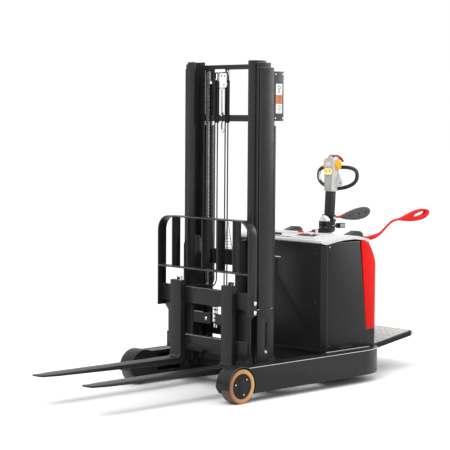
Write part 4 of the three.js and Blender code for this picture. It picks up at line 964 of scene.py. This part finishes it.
# ------------------------------------------------------------------ platform: deck mat and rim
soften("platform", "soft_black", 0.004)
PM = Matrix.Translation((X(-1415), 0, 0.180)) @ Matrix.Rotation(D(8.3), 4, "Y")
parts = [slab(rrect(-0.484, -0.040, -0.294, 0.294, 0.020), 0.0148, 0.0188, "deck", 0.0012)]
for i in range(15):
    for k in range(10):
        x0 = -0.470 + i * 0.0285
        y0 = -0.272 + k * 0.0575 + (0.014 if i % 2 else 0)
        parts.append(slab([(x0, y0), (x0 + 0.009, y0 + 0.013), (x0, y0 + 0.026), (x0 - 0.009, y0 + 0.013)][::-1], 0.0184, 0.0204, "deck", 0.0008))
done("platform_mat", parts, "foot_platform", mat4=PM)
parts = []
for k in range(58):
    y = -0.300 + k * 0.600 / 57
    parts.append(boxp(-0.5022, -0.4985, y - 0.0022, y + 0.0022, -0.014, 0.010, "black_rubber"))
for sg in (1, -1):
    for k in range(44):
        x = -0.466 + k * 0.430 / 43
        parts.append(boxp(x - 0.0022, x + 0.0022, sg * 0.3095 - 0.002, sg * 0.3095 + 0.002, -0.014, 0.010, "black_rubber"))
done("platform_rim", parts, "foot_platform", mat4=PM)

# ------------------------------------------------------------------ side arms: pads on their inner faces
soften("side_arm_left", "red_paint", 0.002)
soften("side_arm_right", "red_paint", 0.002)
def paddle(k, n=44, x_off=-2087 + 325, base=15):
    out = []
    for i in range(n):
        a = (i / n) * 2 * math.pi
        c, s_ = math.cos(a), math.sin(a)
        u = (1 - c) / 2
        half = (base + 36 * u ** 0.8) * k
        h = math.copysign(math.sqrt(max(0.0, 4 * u * (1 - u))), s_) * half
        uu = 0.5 + (u - 0.5) * (0.5 + k / 2)
        out.append((X(x_off - uu * 325), (1064 + uu * 325 * 0.13 + h) / 1000))
    return out
def puff(outline, y0, y1, mat, name, M=None):
    n = len(outline)
    cx = sum(p[0] for p in outline) / n
    cz = sum(p[1] for p in outline) / n
    v, f = [], []
    rings = ((1.0, 0.0), (1.0, 0.45), (0.97, 0.75), (0.88, 0.94), (0.6, 1.0))
    for k, t in rings:
        for x, z in outline:
            v.append((cx + (x - cx) * k, y0 + (y1 - y0) * t, cz + (z - cz) * k))
    for r_ in range(len(rings) - 1):
        for i in range(n):
            j = (i + 1) % n
            f.append((r_ * n + i, r_ * n + j, (r_ + 1) * n + j, (r_ + 1) * n + i))
    f.append(tuple(range(n)))
    f.append(tuple((len(rings) - 1) * n + i for i in range(n)))
    o = mesh_obj(name, v, f, mat)
    if M is not None:
        o.data.transform(M)
    finish_shading(o.data, 50)
    return o
MR = Matrix.Translation((X(-1335), 0, 0.968)) @ Matrix.Rotation(-D(1.6), 4, "Y") @ Matrix.Translation((-X(-1335), 0, -0.968))
o = puff(paddle(1.03, base=20), -0.2742, -0.2655, "pad_grey", "arm_pad_right", MR)
place(o, "arm_right")
parts = []
for q in (0.30, 0.62, 0.84):
    parts.append(turn(cylp((X(-2087 + 325 - q * 325), -0.2664, (1064 + q * 325 * 0.13) / 1000), (0, 1, 0), [(0.0095, 0), (0.0095, 0.0014), (0.0070, 0.0028)], "black_rubber", 14), MR))
done("arm_pad_studs", parts, "arm_right")
# the near arm's pad is an open loop round its slot
ol, inn = paddle(0.92), paddle(0.62)
v, f = [], []
n = len(ol)
for (pts, y) in ((ol, 0.2742), (ol, 0.2690), (inn, 0.2690), (inn, 0.2742)):
    v += [(x, y, z) for x, z in pts]
for r_ in range(4):
    for i in range(n):
        j = (i + 1) % n
        a_, b_ = r_ * n, ((r_ + 1) % 4) * n
        f.append((a_ + i, a_ + j, b_ + j, b_ + i))
o = mesh_obj("arm_pad_left", v, f, "pad_grey")
finish_shading(o.data, 50)
place(o, "arm_left")
parts = []
for s, sg in (("left", 1), ("right", -1)):
    parts = [cylp((X(-1335), sg * 0.286 - 0.0096, 0.968), (0, -1, 0), [(0.010, -0.001), (0.010, 0.0002)], "dark_steel", 18), cylp((X(-1335), sg * 0.286 + 0.0096, 0.968), (0, 1, 0), [(0.010, -0.001), (0.010, 0.0002)], "dark_steel", 18)]
    done("arm_pin_" + s, parts, "arm_" + s)

# ------------------------------------------------------------------ studio
flo = mesh_obj("studio_floor", [(-60, -60, 0), (60, -60, 0), (60, 60, 0), (-60, 60, 0)], [(0, 1, 2, 3)], "floor")
world = bpy.data.worlds.new("studio") if bpy.context.scene.world is None else bpy.context.scene.world
bpy.context.scene.world = world
world.use_nodes = True
wn, wl = world.node_tree.nodes, world.node_tree.links
bg = wn["Background"]
tc = wn.new("ShaderNodeTexCoord")
sp = wn.new("ShaderNodeSeparateXYZ")
mr = wn.new("ShaderNodeMapRange")
mr.inputs["From Min"].default_value = -0.1
mr.inputs["From Max"].default_value = 0.9
mr.inputs["To Min"].default_value = 1.01
mr.inputs["To Max"].default_value = 1.01
wl.new(tc.outputs["Generated"], sp.inputs[0])
wl.new(sp.outputs["Z"], mr.inputs["Value"])
wl.new(mr.outputs["Result"], bg.inputs["Strength"])
bg.inputs["Color"].default_value = (1, 1, 1, 1)

def area(name, loc, target, size, power, sy=None):
    li = bpy.data.lights.new(name, "AREA")
    li.energy = power
    li.shape = "RECTANGLE"
    li.size = size
    li.size_y = sy or size
    o = link(bpy.data.objects.new(name, li))
    o.location = loc
    o.rotation_mode = "QUATERNION"
    o.rotation_quaternion = (Vector(target) - Vector(loc)).to_track_quat("-Z", "Y")
    return o

area("key", (3.0, 5.0, 5.5), (0.1, 0, 0.8), 3.0, 120)
area("top", (0.3, 0.2, 5.6), (0, 0, 0.5), 3.0, 45)
sun = bpy.data.lights.new("front_light", "SUN")
sun.energy = 1.60
sun.angle = D(24)
so = link(bpy.data.objects.new("front_light", sun))
so.rotation_mode = "QUATERNION"
so.rotation_quaternion = Vector((-1.0, -0.20, -1.35)).to_track_quat("-Z", "Y")
area("rim", (-5.0, 2.0, 3.0), (-0.4, 0, 0.9), 2.5, 100)

C = Vector((6512.16 / 1000 + SX, 7225.05 / 1000, 1779.18 / 1000))
a, p, roll = D(225) + 0.0266, 0.0708, 0.0072
fwd = Vector((math.cos(a) * math.cos(p), math.sin(a) * math.cos(p), -math.sin(p)))
right = Vector((math.sin(a), -math.cos(a), 0))
up = right.cross(fwd)
R = right * math.cos(roll) + up * math.sin(roll)
U = -right * math.sin(roll) + up * math.cos(roll)
cam = bpy.data.cameras.new("camera")
cam.sensor_width = 36
cam.lens = 1519.904 / 450 * 36
cam.clip_start, cam.clip_end = 0.1, 200
co = link(bpy.data.objects.new("camera", cam))
co.matrix_world = Matrix(((R.x, U.x, -fwd.x, C.x), (R.y, U.y, -fwd.y, C.y), (R.z, U.z, -fwd.z, C.z), (0, 0, 0, 1)))
bpy.context.scene.camera = co
bpy.context.scene.view_settings.view_transform = "Standard"
